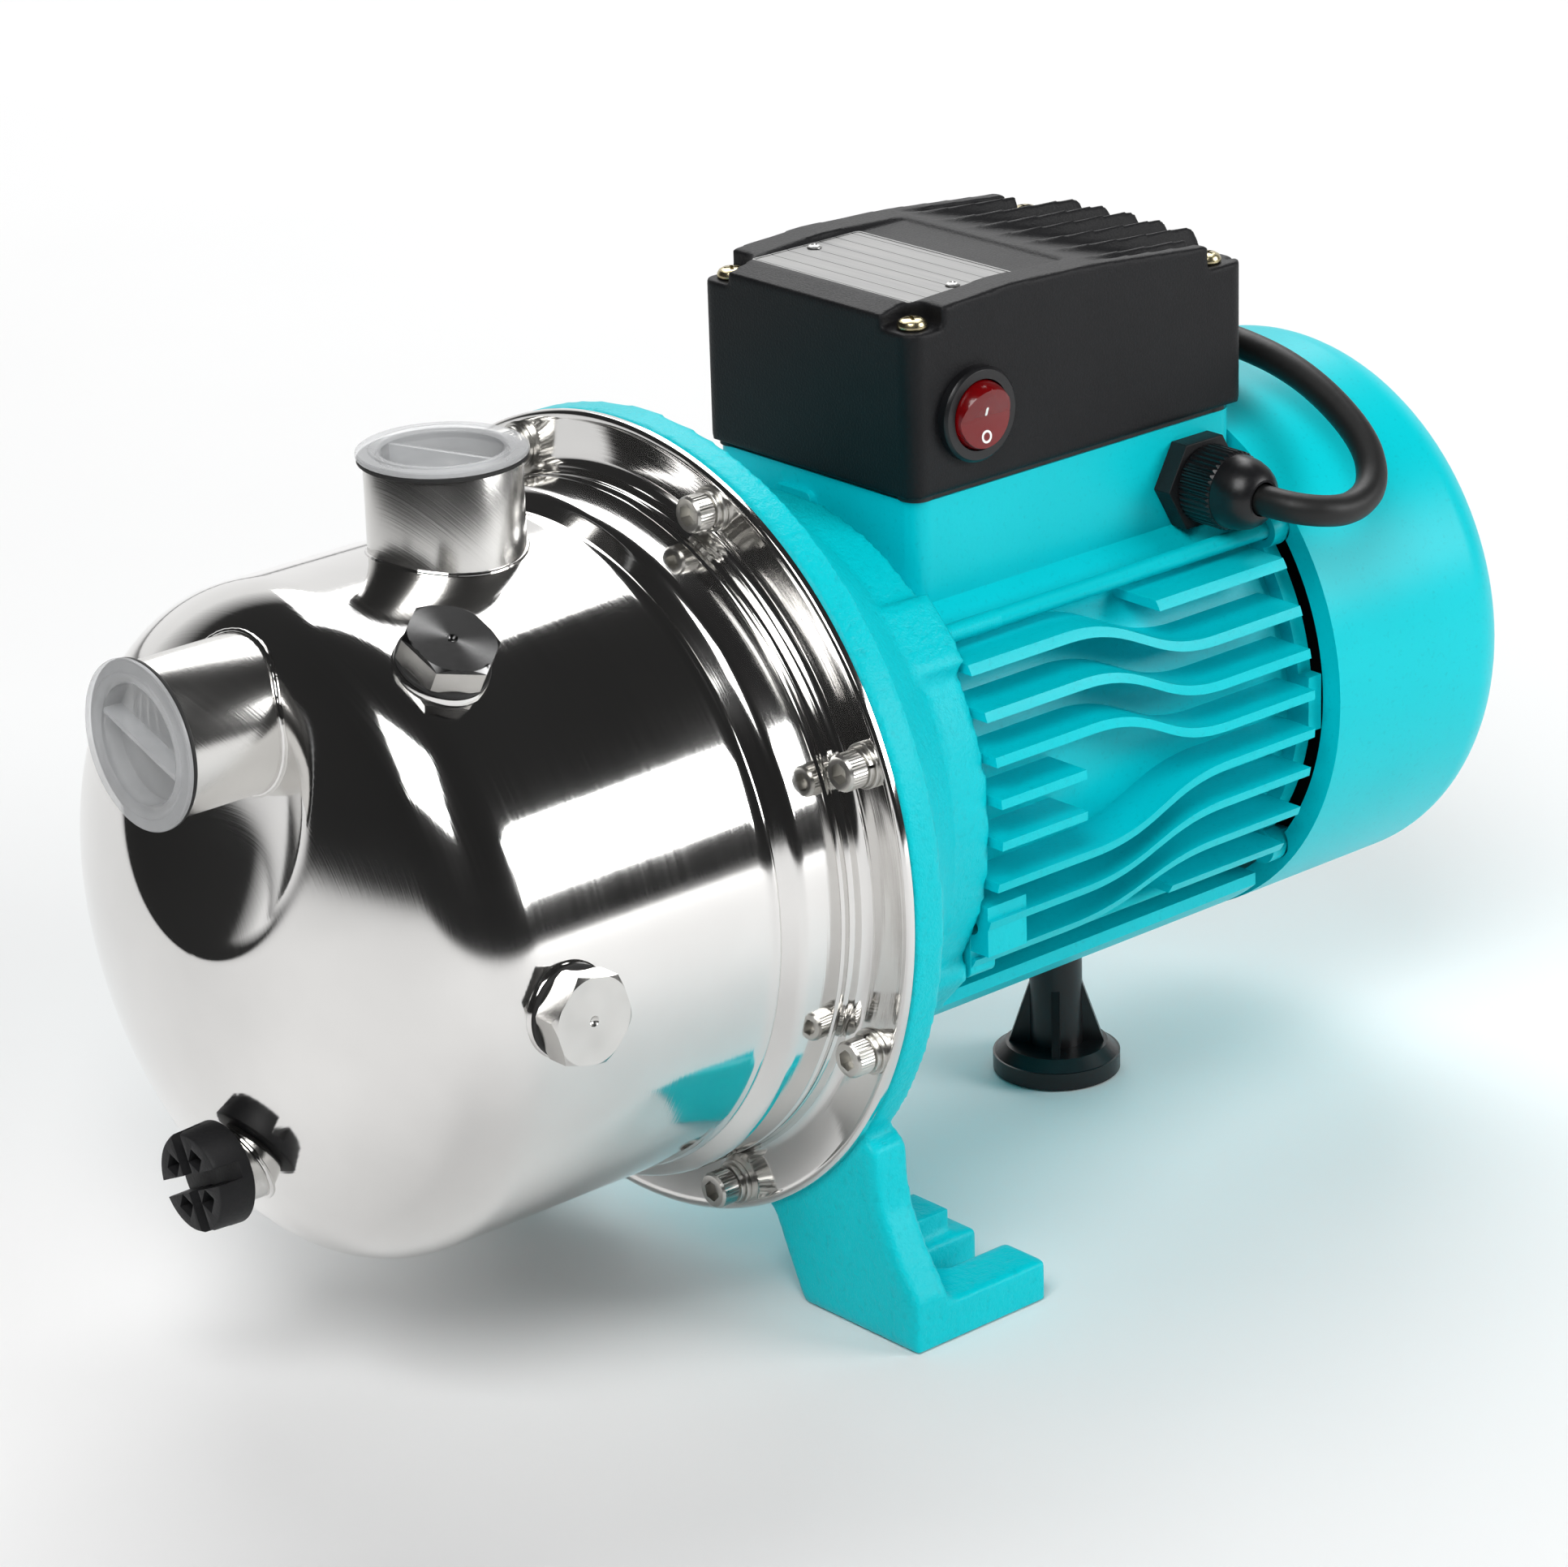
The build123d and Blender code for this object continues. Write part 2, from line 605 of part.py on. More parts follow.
with BuildPart() as ejector_body:
    with BuildSketch(face(EJECTOR_FRONT)):
        with Locations((0, SUCTION_HEIGHT / 2)):
            SlotCenterToCenter(SUCTION_HEIGHT, 2 * EJECTOR_RADIUS, rotation=90)
    extrude(amount=EJECTOR_BACK - EJECTOR_FRONT)
    add(drum(EJECTOR_BACK, VENTURI_END, VENTURI_RADIUS).part)
    with BuildSketch(face(EJECTOR_FRONT + EJECTOR_WALL)):
        with Locations((0, SUCTION_HEIGHT / 2)):
            SlotCenterToCenter(SUCTION_HEIGHT, 2 * EJECTOR_BORE, rotation=90)
    extrude(amount=EJECTOR_BACK - EJECTOR_FRONT - 2 * EJECTOR_WALL, mode=Mode.SUBTRACT)
    with BuildSketch(face(EJECTOR_FRONT)):
        Circle(NOZZLE_SEAT + SEAT_GAP)
        with Locations((0, SUCTION_HEIGHT)):
            Circle(EJECTOR_BORE)
    extrude(amount=EJECTOR_WALL + 1, mode=Mode.SUBTRACT)
    with BuildSketch(section()):
        with BuildLine():
            Polyline(
                (EJECTOR_BACK - EJECTOR_WALL - 1, 0),
                (EJECTOR_BACK - EJECTOR_WALL - 1, VENTURI_THROAT + 3),
                (EJECTOR_BACK + 8, VENTURI_THROAT),
                (EJECTOR_BACK + 20, VENTURI_THROAT),
                (VENTURI_END + 1, EJECTOR_RADIUS - 1),
                (VENTURI_END + 1, 0),
                close=True,
            )
        make_face()
    revolve(axis=SHAFT, mode=Mode.SUBTRACT)
save(ejector_body, "ejector_body")

save(
    lathe(
        [
            (EJECTOR_FRONT - 3, NOZZLE_SEAT - 3),
            (EJECTOR_FRONT - 3, NOZZLE_SEAT + 2.5),
            (EJECTOR_FRONT, NOZZLE_SEAT + 2.5),
            (EJECTOR_FRONT, NOZZLE_SEAT),
            (EJECTOR_FRONT + EJECTOR_WALL + 2, NOZZLE_SEAT),
            (EJECTOR_BACK - EJECTOR_WALL - 2, NOZZLE_TIP + 1.5),
            (EJECTOR_BACK - EJECTOR_WALL - 2, NOZZLE_TIP),
        ]
    ),
    "ejector_nozzle",
)
SUCTION_BACK = Plane(
    (JOINT_X + SUCTION_ROOT, 0, SHAFT_HEIGHT + SUCTION_HEIGHT), x_dir=(0, 1, 0), z_dir=(1, 0, 0)
)
RING_LENGTH = EJECTOR_FRONT - SUCTION_ROOT
save(peg(SUCTION_BACK, RING_LENGTH, EJECTOR_RADIUS - 0.5, EJECTOR_BORE), "suction_seal_ring")

# ---------------------------------------------------------------- bracket with the front feet
TIES = [(-TIE_SPREAD, TIE_HEIGHT), (TIE_SPREAD, TIE_HEIGHT)]
TIES += [(-TIE_SPREAD, -TIE_HEIGHT), (TIE_SPREAD, -TIE_HEIGHT)]
BEARING_HUB = BEARING_RADIUS + 6.0
FRONT_LIP = FRONT_BEARING - 4.0

with BuildPart() as pump_bracket:
    add(
        lathe(
            [
                (BRACKET_FRONT, 74),
                (BRACKET_FRONT, BRACKET_RADIUS),
                (BRACKET_RIM, BRACKET_RADIUS),
                (BRACKET_RIM + 3, 99),
                (46, BELL_RADIUS),
                (BRACKET_BACK, BELL_RADIUS - 1),
                (BRACKET_BACK, BEARING_RADIUS + SEAT_GAP),
                (FRONT_BEARING, BEARING_RADIUS + SEAT_GAP),
                (FRONT_BEARING, 15),
                (FRONT_LIP, 15),
                (FRONT_LIP, BEARING_HUB),
                (54, BEARING_HUB),
                (54, BELL_RADIUS - 6),
                (46, BELL_RADIUS - 6),
                (14, 92),
                (8, 92),
                (8, 74),
            ]
        ).part
    )
    for y, z in TIES:
        with BuildSketch(face(EAR_START)):
            with Locations(Location((y, z, 0), degrees(atan2(z, y)))):
                RectangleRounded(2 * EAR_RADIUS, EAR_WIDTH, 3)
        extrude(amount=BRACKET_BACK - EAR_START)
    for hand in (-1, 1):
        with BuildSketch(face(BRACKET_FRONT)):
            Polygon(
                (hand * 76, -60),
                (hand * 90, -69),
                (hand * 92, -85),
                (hand * 98, -97),
                (hand * FOOT_OUTER, -107),
                (hand * FOOT_OUTER, FLOOR),
                (hand * FOOT_INNER, FLOOR),
                (hand * 50, -98),
                (hand * 50, -80),
                align=None,
            )
        extrude(amount=FOOT_WEB)
        with BuildSketch(level(FLOOR)):
            with Locations(((BRACKET_FRONT + FOOT_BACK) / 2, hand * (FOOT_OUTER + FOOT_INNER) / 2)):
                Rectangle(FOOT_BACK - BRACKET_FRONT, FOOT_OUTER - FOOT_INNER)
        extrude(amount=PAD_THICKNESS)
        with BuildSketch(level(FLOOR)):
            with Locations(((BRACKET_FRONT + 42) / 2, hand * (FOOT_INNER + 7))):
                Rectangle(42 - BRACKET_FRONT, 14)
        extrude(amount=PAD_THICKNESS + 7)
        with BuildSketch(section(hand * (FOOT_INNER + 7))):
            with BuildLine():
                Polyline((10, FLOOR + 17), (30, FLOOR + 17), (12, -80), (10, -80), close=True)
            make_face()
        extrude(amount=6, both=True)
        with BuildSketch(level(FLOOR - 1)):
            with Locations((SLOT_SETBACK + 15, hand * SLOT_SPREAD / 2)):
                SlotCenterToCenter(30 + SLOT_WIDTH, SLOT_WIDTH)
        extrude(amount=PAD_THICKNESS + 12, mode=Mode.SUBTRACT)
    add(on_bolt_circle(BRACKET_FRONT - 1, 16, M6_RADIUS + SEAT_GAP).part, mode=Mode.SUBTRACT)
    with BuildSketch(face(30)):
        with Locations(*TIES):
            Circle(TIE_RADIUS + SEAT_GAP)
    extrude(amount=40, mode=Mode.SUBTRACT)
save(pump_bracket, "pump_bracket")

# ---------------------------------------------------------------- motor housing
HALF_FIN = FIN_THICKNESS / 2
UPPER_FINS = [40.8, 29.3, 17.8]
LOWER_FINS = [-17.3, -29.0, -41.6]
SHORT_FINS = [(130, FIN_END, 41.0), (FIN_START, 92, 6.6), (FIN_START, 92, -5.0), (135, FIN_END, -42.0)]


def stepped_fin(front, rear):
    """Side view of a fin: level at the front, an even S-bend, then level again at the rear."""
    middle = (STEP_START + STEP_END) / 2
    with BuildSketch(section()) as outline:
        with BuildLine():
            Line((FIN_START, front + HALF_FIN), (STEP_START, front + HALF_FIN))
            Bezier(
                (STEP_START, front + HALF_FIN),
                (middle, front + HALF_FIN),
                (middle, rear + HALF_FIN),
                (STEP_END, rear + HALF_FIN),
            )
            Polyline(
                (STEP_END, rear + HALF_FIN),
                (FIN_END, rear + HALF_FIN),
                (FIN_END, rear - HALF_FIN),
                (STEP_END, rear - HALF_FIN),
            )
            Bezier(
                (STEP_END, rear - HALF_FIN),
                (middle, rear - HALF_FIN),
                (middle, front - HALF_FIN),
                (STEP_START, front - HALF_FIN),
            )
            Polyline(
                (STEP_START, front - HALF_FIN),
                (FIN_START, front - HALF_FIN),
                (FIN_START, front + HALF_FIN),
            )
        make_face()
    return outline


with BuildPart() as fin_envelope:
    add(drum(MOTOR_START, MOTOR_END, FIN_RADIUS, BODY_RADIUS - 2).part)

FIN_LINES = [(height, height - FIN_PITCH) for height in UPPER_FINS]
FIN_LINES += [(height, height + FIN_PITCH) for height in LOWER_FINS]
with BuildPart() as fins:
    for front, rear in FIN_LINES:
        extrude(stepped_fin(front, rear).sketch, amount=FIN_RADIUS, both=True)
    for start, end, height in SHORT_FINS:
        with BuildSketch(section()):
            with Locations(((start + end) / 2, height)):
                Rectangle(end - start, FIN_THICKNESS)
        extrude(amount=FIN_RADIUS, both=True)
    add(fin_envelope.part, mode=Mode.INTERSECT)

with BuildPart() as motor_housing:
    add(drum(MOTOR_START, MOTOR_END, BODY_RADIUS).part)
    with BuildSketch(face(MOTOR_START)):
        Circle(FIN_RADIUS)
        Circle(BODY_RADIUS - 1, mode=Mode.SUBTRACT)
        with Locations((0, -FIN_RADIUS)):
            Rectangle(2 * 52, 2 * FIN_RADIUS - 2 * 55, mode=Mode.INTERSECT)
    extrude(amount=MOTOR_END - MOTOR_START)
    with BuildSketch(face(MOTOR_START - 1)):
        Circle(FIN_RADIUS - BELLY_WALL)
        Circle(BODY_RADIUS, mode=Mode.SUBTRACT)
        with Locations((0, -FIN_RADIUS)):
            Rectangle(2 * 38, 2 * FIN_RADIUS - 2 * 50, mode=Mode.INTERSECT)
    extrude(amount=MOTOR_END - MOTOR_START - 12, mode=Mode.SUBTRACT)
    add(fins.part)
    with BuildSketch(level(40)):
        with Locations(((PEDESTAL_START + PEDESTAL_END) / 2, 0)):
            RectangleRounded(PEDESTAL_END - PEDESTAL_START, 2 * PEDESTAL_HALF, PEDESTAL_CORNER)
    extrude(amount=PEDESTAL_TOP - 40)
    with BuildSketch(level(PEDESTAL_FLOOR)):
        with Locations(((PEDESTAL_START + PEDESTAL_END) / 2, 0)):
            RectangleRounded(
                PEDESTAL_END - PEDESTAL_START - 2 * PEDESTAL_WALL,
                2 * (PEDESTAL_HALF - PEDESTAL_WALL),
                PEDESTAL_CORNER - PEDESTAL_WALL,
            )
    extrude(amount=40, mode=Mode.SUBTRACT)
    with BuildSketch(level(PEDESTAL_FLOOR)):
        with Locations(*BOX_SCREWS):
            Circle(SCREW_POST - 1)
    extrude(amount=PEDESTAL_TOP - PEDESTAL_FLOOR)
    with BuildSketch(level(PEDESTAL_FLOOR)):
        with Locations(*BOX_SCREWS):
            Circle(BOX_SCREW + SEAT_GAP)
    extrude(amount=40, mode=Mode.SUBTRACT)
    add(drum(MOTOR_END, PEDESTAL_END + 1, SHIELD_RADIUS + 0.5).part, mode=Mode.SUBTRACT)
    for hand in (-1, 1):
        with BuildSketch(face(MOTOR_START + 1)):
            with Locations((hand * 65, -31)):
                Rectangle(14, 14)
        extrude(amount=14)
    with BuildSketch(face(MOTOR_START - 1)):
        Circle(STATOR_RADIUS + SEAT_GAP)
    extrude(amount=MOTOR_END - MOTOR_START + 2, mode=Mode.SUBTRACT)
    with BuildSketch(face(MOTOR_START - 1)):
        with Locations(*TIES):
            Circle(TIE_RADIUS + 0.6)
        with Locations((-66, -31), (66, -31)):
            Circle(2.1)
    extrude(amount=14, mode=Mode.SUBTRACT)
    with BuildSketch(face(MOTOR_START - 1)):
        with Locations(*TIES):
            Circle(TIE_RADIUS + 0.6)
    extrude(amount=MOTOR_END - MOTOR_START + 2, mode=Mode.SUBTRACT)
    with BuildSketch(section(-PEDESTAL_HALF + PEDESTAL_WALL + 1)):
        with Locations((GLAND_X, GLAND_Z)):
            Circle(GLAND_THREAD + SEAT_GAP)
    extrude(amount=PEDESTAL_WALL + 4, mode=Mode.SUBTRACT)
    with BuildSketch(section(-PEDESTAL_HALF + PEDESTAL_WALL)):
        with Locations((GLAND_X, GLAND_Z)):
            Circle(LOCKNUT_RADIUS + 0.8)
    extrude(amount=-6.5, mode=Mode.SUBTRACT)
save(motor_housing, "motor_housing")

# ---------------------------------------------------------------- stator, rotor and shaft
with BuildPart() as stator_core:
    add(drum(STACK_START, STACK_END, STATOR_RADIUS, STATOR_BORE).part)
    with BuildSketch(face(STACK_START)):
        with PolarLocations(STATOR_SLOT_CIRCLE, SLOT_COUNT):
            Circle(STATOR_SLOT)
    extrude(amount=STACK_END - STACK_START, mode=Mode.SUBTRACT)
save(stator_core, "stator_core")

with BuildPart() as stator_winding:
    for start in (STACK_START - COIL_OVERHANG, STACK_END + SEAT_GAP):
        add(drum(start, start + COIL_OVERHANG - SEAT_GAP, COIL_OUTER, COIL_INNER).part)
    with BuildSketch(face(STACK_START - COIL_OVERHANG)):
        with PolarLocations(STATOR_SLOT_CIRCLE, SLOT_COUNT):
            Circle(STATOR_SLOT - FIT_GAP)
    extrude(amount=STACK_END - STACK_START + 2 * COIL_OVERHANG)
save(stator_winding, "stator_winding")

save(drum(STACK_START, STACK_END, STATOR_BORE - AIR_GAP, ROTOR_SEAT + SEAT_GAP), "rotor")

save(
    lathe(
        [
            (IMPELLER_FRONT - NUT_LENGTH - 2, 0),
            (IMPELLER_FRONT - NUT_LENGTH - 2, STUB_RADIUS),
            (IMPELLER_FRONT, STUB_RADIUS),
            (IMPELLER_FRONT, IMPELLER_SEAT),
            (IMPELLER_BACK, IMPELLER_SEAT),
            (IMPELLER_BACK, SEAL_SEAT),
            (FRONT_LIP, SEAL_SEAT),
            (FRONT_LIP, BEARING_BORE),
            (FRONT_BEARING + BEARING_WIDTH, BEARING_BORE),
            (FRONT_BEARING + BEARING_WIDTH, ROTOR_SEAT),
            (REAR_BEARING, ROTOR_SEAT),
            (REAR_BEARING, BEARING_BORE),
            (REAR_BEARING + BEARING_WIDTH, BEARING_BORE),
            (REAR_BEARING + BEARING_WIDTH, FAN_SEAT),
            (SHAFT_END, FAN_SEAT),
            (SHAFT_END, 0),
        ]
    ),
    "shaft",
)

SLINGER_BORE = SEAL_SEAT + SEAT_GAP
save(lathe([(20, SLINGER_BORE), (20, 12), (22, 21), (24, 21), (24, SLINGER_BORE)]), "slinger")

BALL_CIRCLE = (BEARING_BORE + BEARING_RADIUS) / 2
GROOVE = BALL_RADIUS + RUN_GAP
BEARING_STARTS = (FRONT_BEARING, REAR_BEARING)
with BuildPart() as ball_grooves:
    with BuildSketch(section()):
        with Locations(*[(start + BEARING_WIDTH / 2, BALL_CIRCLE) for start in BEARING_STARTS]):
            Circle(GROOVE)
    revolve(axis=SHAFT)

with BuildPart() as bearing_outer_races:
    for start in BEARING_STARTS:
        add(drum(start, start + BEARING_WIDTH, BEARING_RADIUS, BEARING_RADIUS - RACE_WALL).part)
    add(ball_grooves.part, mode=Mode.SUBTRACT)
save(bearing_outer_races, "bearing_outer_races")

with BuildPart() as bearing_inner_races:
    for start in BEARING_STARTS:
        add(drum(start, start + BEARING_WIDTH, BEARING_BORE + RACE_WALL, BEARING_BORE + SEAT_GAP).part)
    add(ball_grooves.part, mode=Mode.SUBTRACT)
save(bearing_inner_races, "bearing_inner_races")

BALL_PLANES = [face(start + BEARING_WIDTH / 2) for start in BEARING_STARTS]
with BuildPart(*BALL_PLANES) as bearing_balls:
    with PolarLocations(BALL_CIRCLE, BALL_COUNT):
        Sphere(BALL_RADIUS)
save(bearing_balls, "bearing_balls")

# ---------------------------------------------------------------- rear end shield and tie bolts
REAR_HUB = BEARING_RADIUS + 5.0
SHIELD_EAR = 5.0
FINGER_ANGLES = (-90, 150, 210)
FINGER_WIDTH = 10.0
FINGER_END = COVER_START + 12.0
COVER_INSIDE = COVER_RADIUS - COVER_WALL
COVER_SCREW = 2.0


def around(angle, radius):
    """A point of a face plane, by radius and angle from the near horizontal upwards."""
    return -radius * cos(radians(angle)), radius * sin(radians(angle))


with BuildPart() as rear_shield:
    add(drum(MOTOR_END, SHIELD_END, SHIELD_RADIUS).part)
    add(drum(REAR_BEARING, SHIELD_END + 2, REAR_HUB).part)
    with BuildSketch(face(MOTOR_END)):
        with Locations(*TIES):
            Circle(SHIELD_EAR)
        with Locations(around(0, SHIELD_RADIUS - 2), around(180, SHIELD_RADIUS - 2)):
            Rectangle(2 * (COVER_LIP - SHIELD_RADIUS + 2 - FIT_GAP), 16)
    extrude(amount=SHIELD_END - MOTOR_END)
    for angle in FINGER_ANGLES:
        with BuildSketch(face(MOTOR_END)):
            with Locations(Location((*around(angle, (SHIELD_RADIUS + COVER_INSIDE) / 2 - 1), 0), -angle)):
                Rectangle(COVER_INSIDE - SHIELD_RADIUS + 1.2, FINGER_WIDTH)
        extrude(amount=FINGER_END - MOTOR_END)
        with BuildSketch(spoke((COVER_START + FINGER_END + 2) / 2, angle, SHIELD_RADIUS - 4)):
            Circle(COVER_SCREW + SEAT_GAP)
        extrude(amount=20, mode=Mode.SUBTRACT)
    with BuildSketch(face(REAR_BEARING)):
        Circle(BEARING_RADIUS + SEAT_GAP)
    extrude(amount=BEARING_WIDTH, mode=Mode.SUBTRACT)
    with BuildSketch(face(REAR_BEARING)):
        Circle(FAN_SEAT + 3)
        with PolarLocations(48, 6, start_angle=30):
            Circle(9)
        with Locations(*TIES):
            Circle(TIE_RADIUS + 0.3)
    extrude(amount=30, mode=Mode.SUBTRACT)
save(rear_shield, "rear_shield")

with BuildPart() as tie_bolts:
    with BuildSketch(face(34)):
        with Locations(*TIES):
            Circle(TIE_RADIUS)
    extrude(amount=SHIELD_END - 34)
    with BuildSketch(face(SHIELD_END)):
        with Locations(*TIES):
            RegularPolygon(4.0, 6, major_radius=False)
    extrude(amount=3.6)
save(tie_bolts, "tie_bolts")

# ---------------------------------------------------------------- fan and fan cover
with BuildPart() as fan:
    add(drum(FAN_START, FAN_START + FAN_WIDTH, FAN_SEAT + 6, FAN_SEAT + SEAT_GAP).part)
    add(drum(FAN_START, FAN_START + 2, FAN_RADIUS, FAN_SEAT + SEAT_GAP).part)
    with BuildSketch(face(FAN_START)):
        with PolarLocations((FAN_RADIUS + FAN_SEAT + 5) / 2, FAN_BLADES):
            Rectangle(FAN_RADIUS - FAN_SEAT - 5, 2.2)
    extrude(amount=FAN_WIDTH - 4)
save(fan, "fan")
FAN_BACK = FAN_START + FAN_WIDTH
save(drum(FAN_BACK + FIT_GAP, FAN_BACK + 1.2, FAN_SEAT + 3, FAN_SEAT + SEAT_GAP), "fan_clip")

with BuildPart() as fan_cover:
    with BuildSketch(face(COVER_START)):
        Circle(COVER_RADIUS)
    extrude(amount=COVER_END - COVER_START)
    fillet(fan_cover.faces().sort_by(Axis.X)[-1].edges(), COVER_EDGE)
    with BuildSketch(section()):
        with BuildLine():
            inner_end = COVER_END - COVER_WALL
            bend = COVER_EDGE - COVER_WALL
            Polyline((inner_end, COVER_INSIDE - bend), (inner_end, 0), (COVER_START + COVER_WALL, 0))
            Polyline(
                (COVER_START + COVER_WALL, 0),
                (COVER_START + COVER_WALL, COVER_INSIDE),
                (inner_end - bend, COVER_INSIDE),
            )
            RadiusArc((inner_end - bend, COVER_INSIDE), (inner_end, COVER_INSIDE - bend), bend)
        make_face()
    revolve(axis=SHAFT, mode=Mode.SUBTRACT)
    with BuildSketch(face(COVER_START)):
        Circle(COVER_LIP)
        with Locations(*TIES):
            Circle(SHIELD_EAR + FIT_GAP)
        for angle in FINGER_ANGLES:
            with Locations(Location((*around(angle, COVER_LIP), 0), -angle)):
                Rectangle(2 * (COVER_INSIDE - COVER_LIP), FINGER_WIDTH + 0.4)
    extrude(amount=COVER_WALL, mode=Mode.SUBTRACT)
    for ring, arcs in ((20, 6), (34, 10), (48, 14)):
        with BuildSketch(face(COVER_END)):
            with PolarLocations(ring, arcs):
                SlotOverall(0.68 * 2 * pi * ring / arcs, 5, rotation=90)
        extrude(amount=-COVER_WALL - 1, mode=Mode.SUBTRACT)
    for angle in FINGER_ANGLES:
        with BuildSketch(spoke((COVER_START + FINGER_END + 2) / 2, angle, COVER_INSIDE - 2)):
            Circle(COVER_SCREW + 0.2)
        extrude(amount=6, mode=Mode.SUBTRACT)
save(fan_cover, "fan_cover")

with BuildPart() as fan_cover_screws:
    for angle in FINGER_ANGLES:
        seat = spoke((COVER_START + FINGER_END + 2) / 2, angle, COVER_RADIUS + SEAT_GAP)
        with BuildSketch(seat):
            Circle(3.6)
        extrude(amount=2.2)
        with BuildSketch(seat):
            Circle(COVER_SCREW)
        extrude(amount=-8)
save(fan_cover_screws, "fan_cover_screws")

# ---------------------------------------------------------------- switch box
POCKET = 5.4               # from the screw's axis to the wall of its corner pocket
RIDGES = 7
RIDGE_PITCH = 12.0
RIDGE_FOOT = 118.0
PLATE_LENGTH = 62.0
PLATE_WIDTH = 39.0
PLATE_X = 94.5
PANEL_DEPTH = 0.8
PANEL_END = 131.0


def box_side(rear):
    """Side view of the box above its base, falling to the height rear at the back end."""
    return [
        (BOX_START, BOX_BASE),
        (BOX_START, BOX_FRONT_TOP),
        (BOX_START + 8, BOX_CREST - 1.5),
        (BOX_START + 36, BOX_CREST),
        (BOX_START + 67, BOX_CREST - 1.3),
        (BOX_END - 12, rear + 1.5),
        (BOX_END, rear),
        (BOX_END, BOX_BASE),
    ]


def box_slab(rear, half, middle=0.0):
    """The side view as a slab, half its width to each side of a plane along the shaft."""
    with BuildPart() as piece:
        with BuildSketch(section(middle)):
            with BuildLine():
                Polyline(*box_side(rear), close=True)
            make_face()
        extrude(amount=half, both=True)
    return piece


with BuildPart() as box_prism:
    with BuildSketch(level(BOX_BASE)):
        with Locations((BOX_MIDDLE, 0)):
            RectangleRounded(BOX_LENGTH, 2 * BOX_HALF, BOX_CORNER)
    extrude(amount=80)

with BuildPart() as terminal_cover:
    add(box_slab(RIDGE_FOOT, BOX_HALF).part)
    for hand in (-1, 1):
        add(box_slab(BOX_REAR_TOP, 2, hand * (BOX_HALF - 2)).part)
    for number in range(RIDGES):
        add(box_slab(BOX_REAR_TOP, 1.2, (number - (RIDGES - 1) / 2) * RIDGE_PITCH * 0.92).part)
    add(box_prism.part, mode=Mode.INTERSECT)
    with BuildSketch(level(BOX_BASE)):
        with Locations((BOX_MIDDLE, 0)):
            RectangleRounded(BOX_LENGTH - 2 * BOX_WALL, 2 * (BOX_HALF - BOX_WALL), BOX_CORNER - 2)
    extrude(amount=RIDGE_FOOT - BOX_WALL - BOX_BASE, mode=Mode.SUBTRACT)
    for x, seat in BOX_SCREW_ROWS:
        end = BOX_START if x < BOX_MIDDLE else BOX_END
        with BuildSketch(level(BOX_BASE)):
            with Locations(*[(x, y) for y in BOX_SCREW_SIDES]):
                Circle(SCREW_POST)
        extrude(amount=seat - BOX_BASE)
        with BuildSketch(level(seat)):
            with Locations(*[(end, copysign(BOX_HALF, y)) for y in BOX_SCREW_SIDES]):
                RectangleRounded(2 * (abs(end - x) + POCKET), 2 * (SCREW_INSET + POCKET), POCKET)
        extrude(amount=40, mode=Mode.SUBTRACT)
    with BuildSketch(level(BOX_BASE)):
        with Locations(*BOX_SCREWS):
            Circle(BOX_SCREW + 0.2)
    extrude(amount=60, mode=Mode.SUBTRACT)
    with BuildSketch(level(BOX_CREST - PANEL_DEPTH - 1.5)):
        with Locations(((PLATE_X - PLATE_WIDTH / 2 + PANEL_END) / 2, 0)):
            Rectangle(PANEL_END - PLATE_X + PLATE_WIDTH / 2, PLATE_LENGTH + 1)
    extrude(amount=20, mode=Mode.SUBTRACT)
    with BuildSketch(section(-BOX_HALF + BOX_WALL + 1)):
        with Locations((SWITCH_X, SWITCH_Z)):
            Circle(SWITCH_BODY + SEAT_GAP)
    extrude(amount=BOX_WALL + 2, mode=Mode.SUBTRACT)
    with BuildSketch(level(BOX_CREST - PANEL_DEPTH - 6)):
        with Locations(*[(PLATE_X, hand * (PLATE_LENGTH / 2 - 4)) for hand in (-1, 1)]):
            Circle(1.2)
    extrude(amount=20, mode=Mode.SUBTRACT)
save(terminal_cover, "terminal_cover")

PANEL_LEVEL = BOX_CREST - PANEL_DEPTH - 1.5
with BuildPart() as nameplate:
    with BuildSketch(level(PANEL_LEVEL)):
        with Locations((PLATE_X, 0)):
            Rectangle(PLATE_WIDTH, PLATE_LENGTH)
        with Locations(*[(PLATE_X, hand * (PLATE_LENGTH / 2 - 4)) for hand in (-1, 1)]):
            Circle(1.2, mode=Mode.SUBTRACT)
    extrude(amount=PLATE_THICKNESS)
save(nameplate, "nameplate")

with BuildPart() as nameplate_rivets:
    with BuildSketch(level(PANEL_LEVEL + PLATE_THICKNESS)):
        with Locations(*[(PLATE_X, hand * (PLATE_LENGTH / 2 - 4)) for hand in (-1, 1)]):
            Circle(2.0)
    extrude(amount=0.8)
    with BuildSketch(level(PANEL_LEVEL + PLATE_THICKNESS)):
        with Locations(*[(PLATE_X, hand * (PLATE_LENGTH / 2 - 4)) for hand in (-1, 1)]):
            Circle(1.15)
    extrude(amount=-4)
save(nameplate_rivets, "nameplate_rivets")

with BuildPart() as cover_screws:
    for x, seat in BOX_SCREW_ROWS:
        with BuildSketch(level(seat)):
            with Locations(*[(x, y) for y in BOX_SCREW_SIDES]):
                Circle(4.0)
        extrude(amount=2.8)
        with BuildSketch(level(seat)):
            with Locations(*[(x, y) for y in BOX_SCREW_SIDES]):
                Circle(BOX_SCREW)
        extrude(amount=-(seat - PEDESTAL_TOP + 8))
save(cover_screws, "cover_screws")

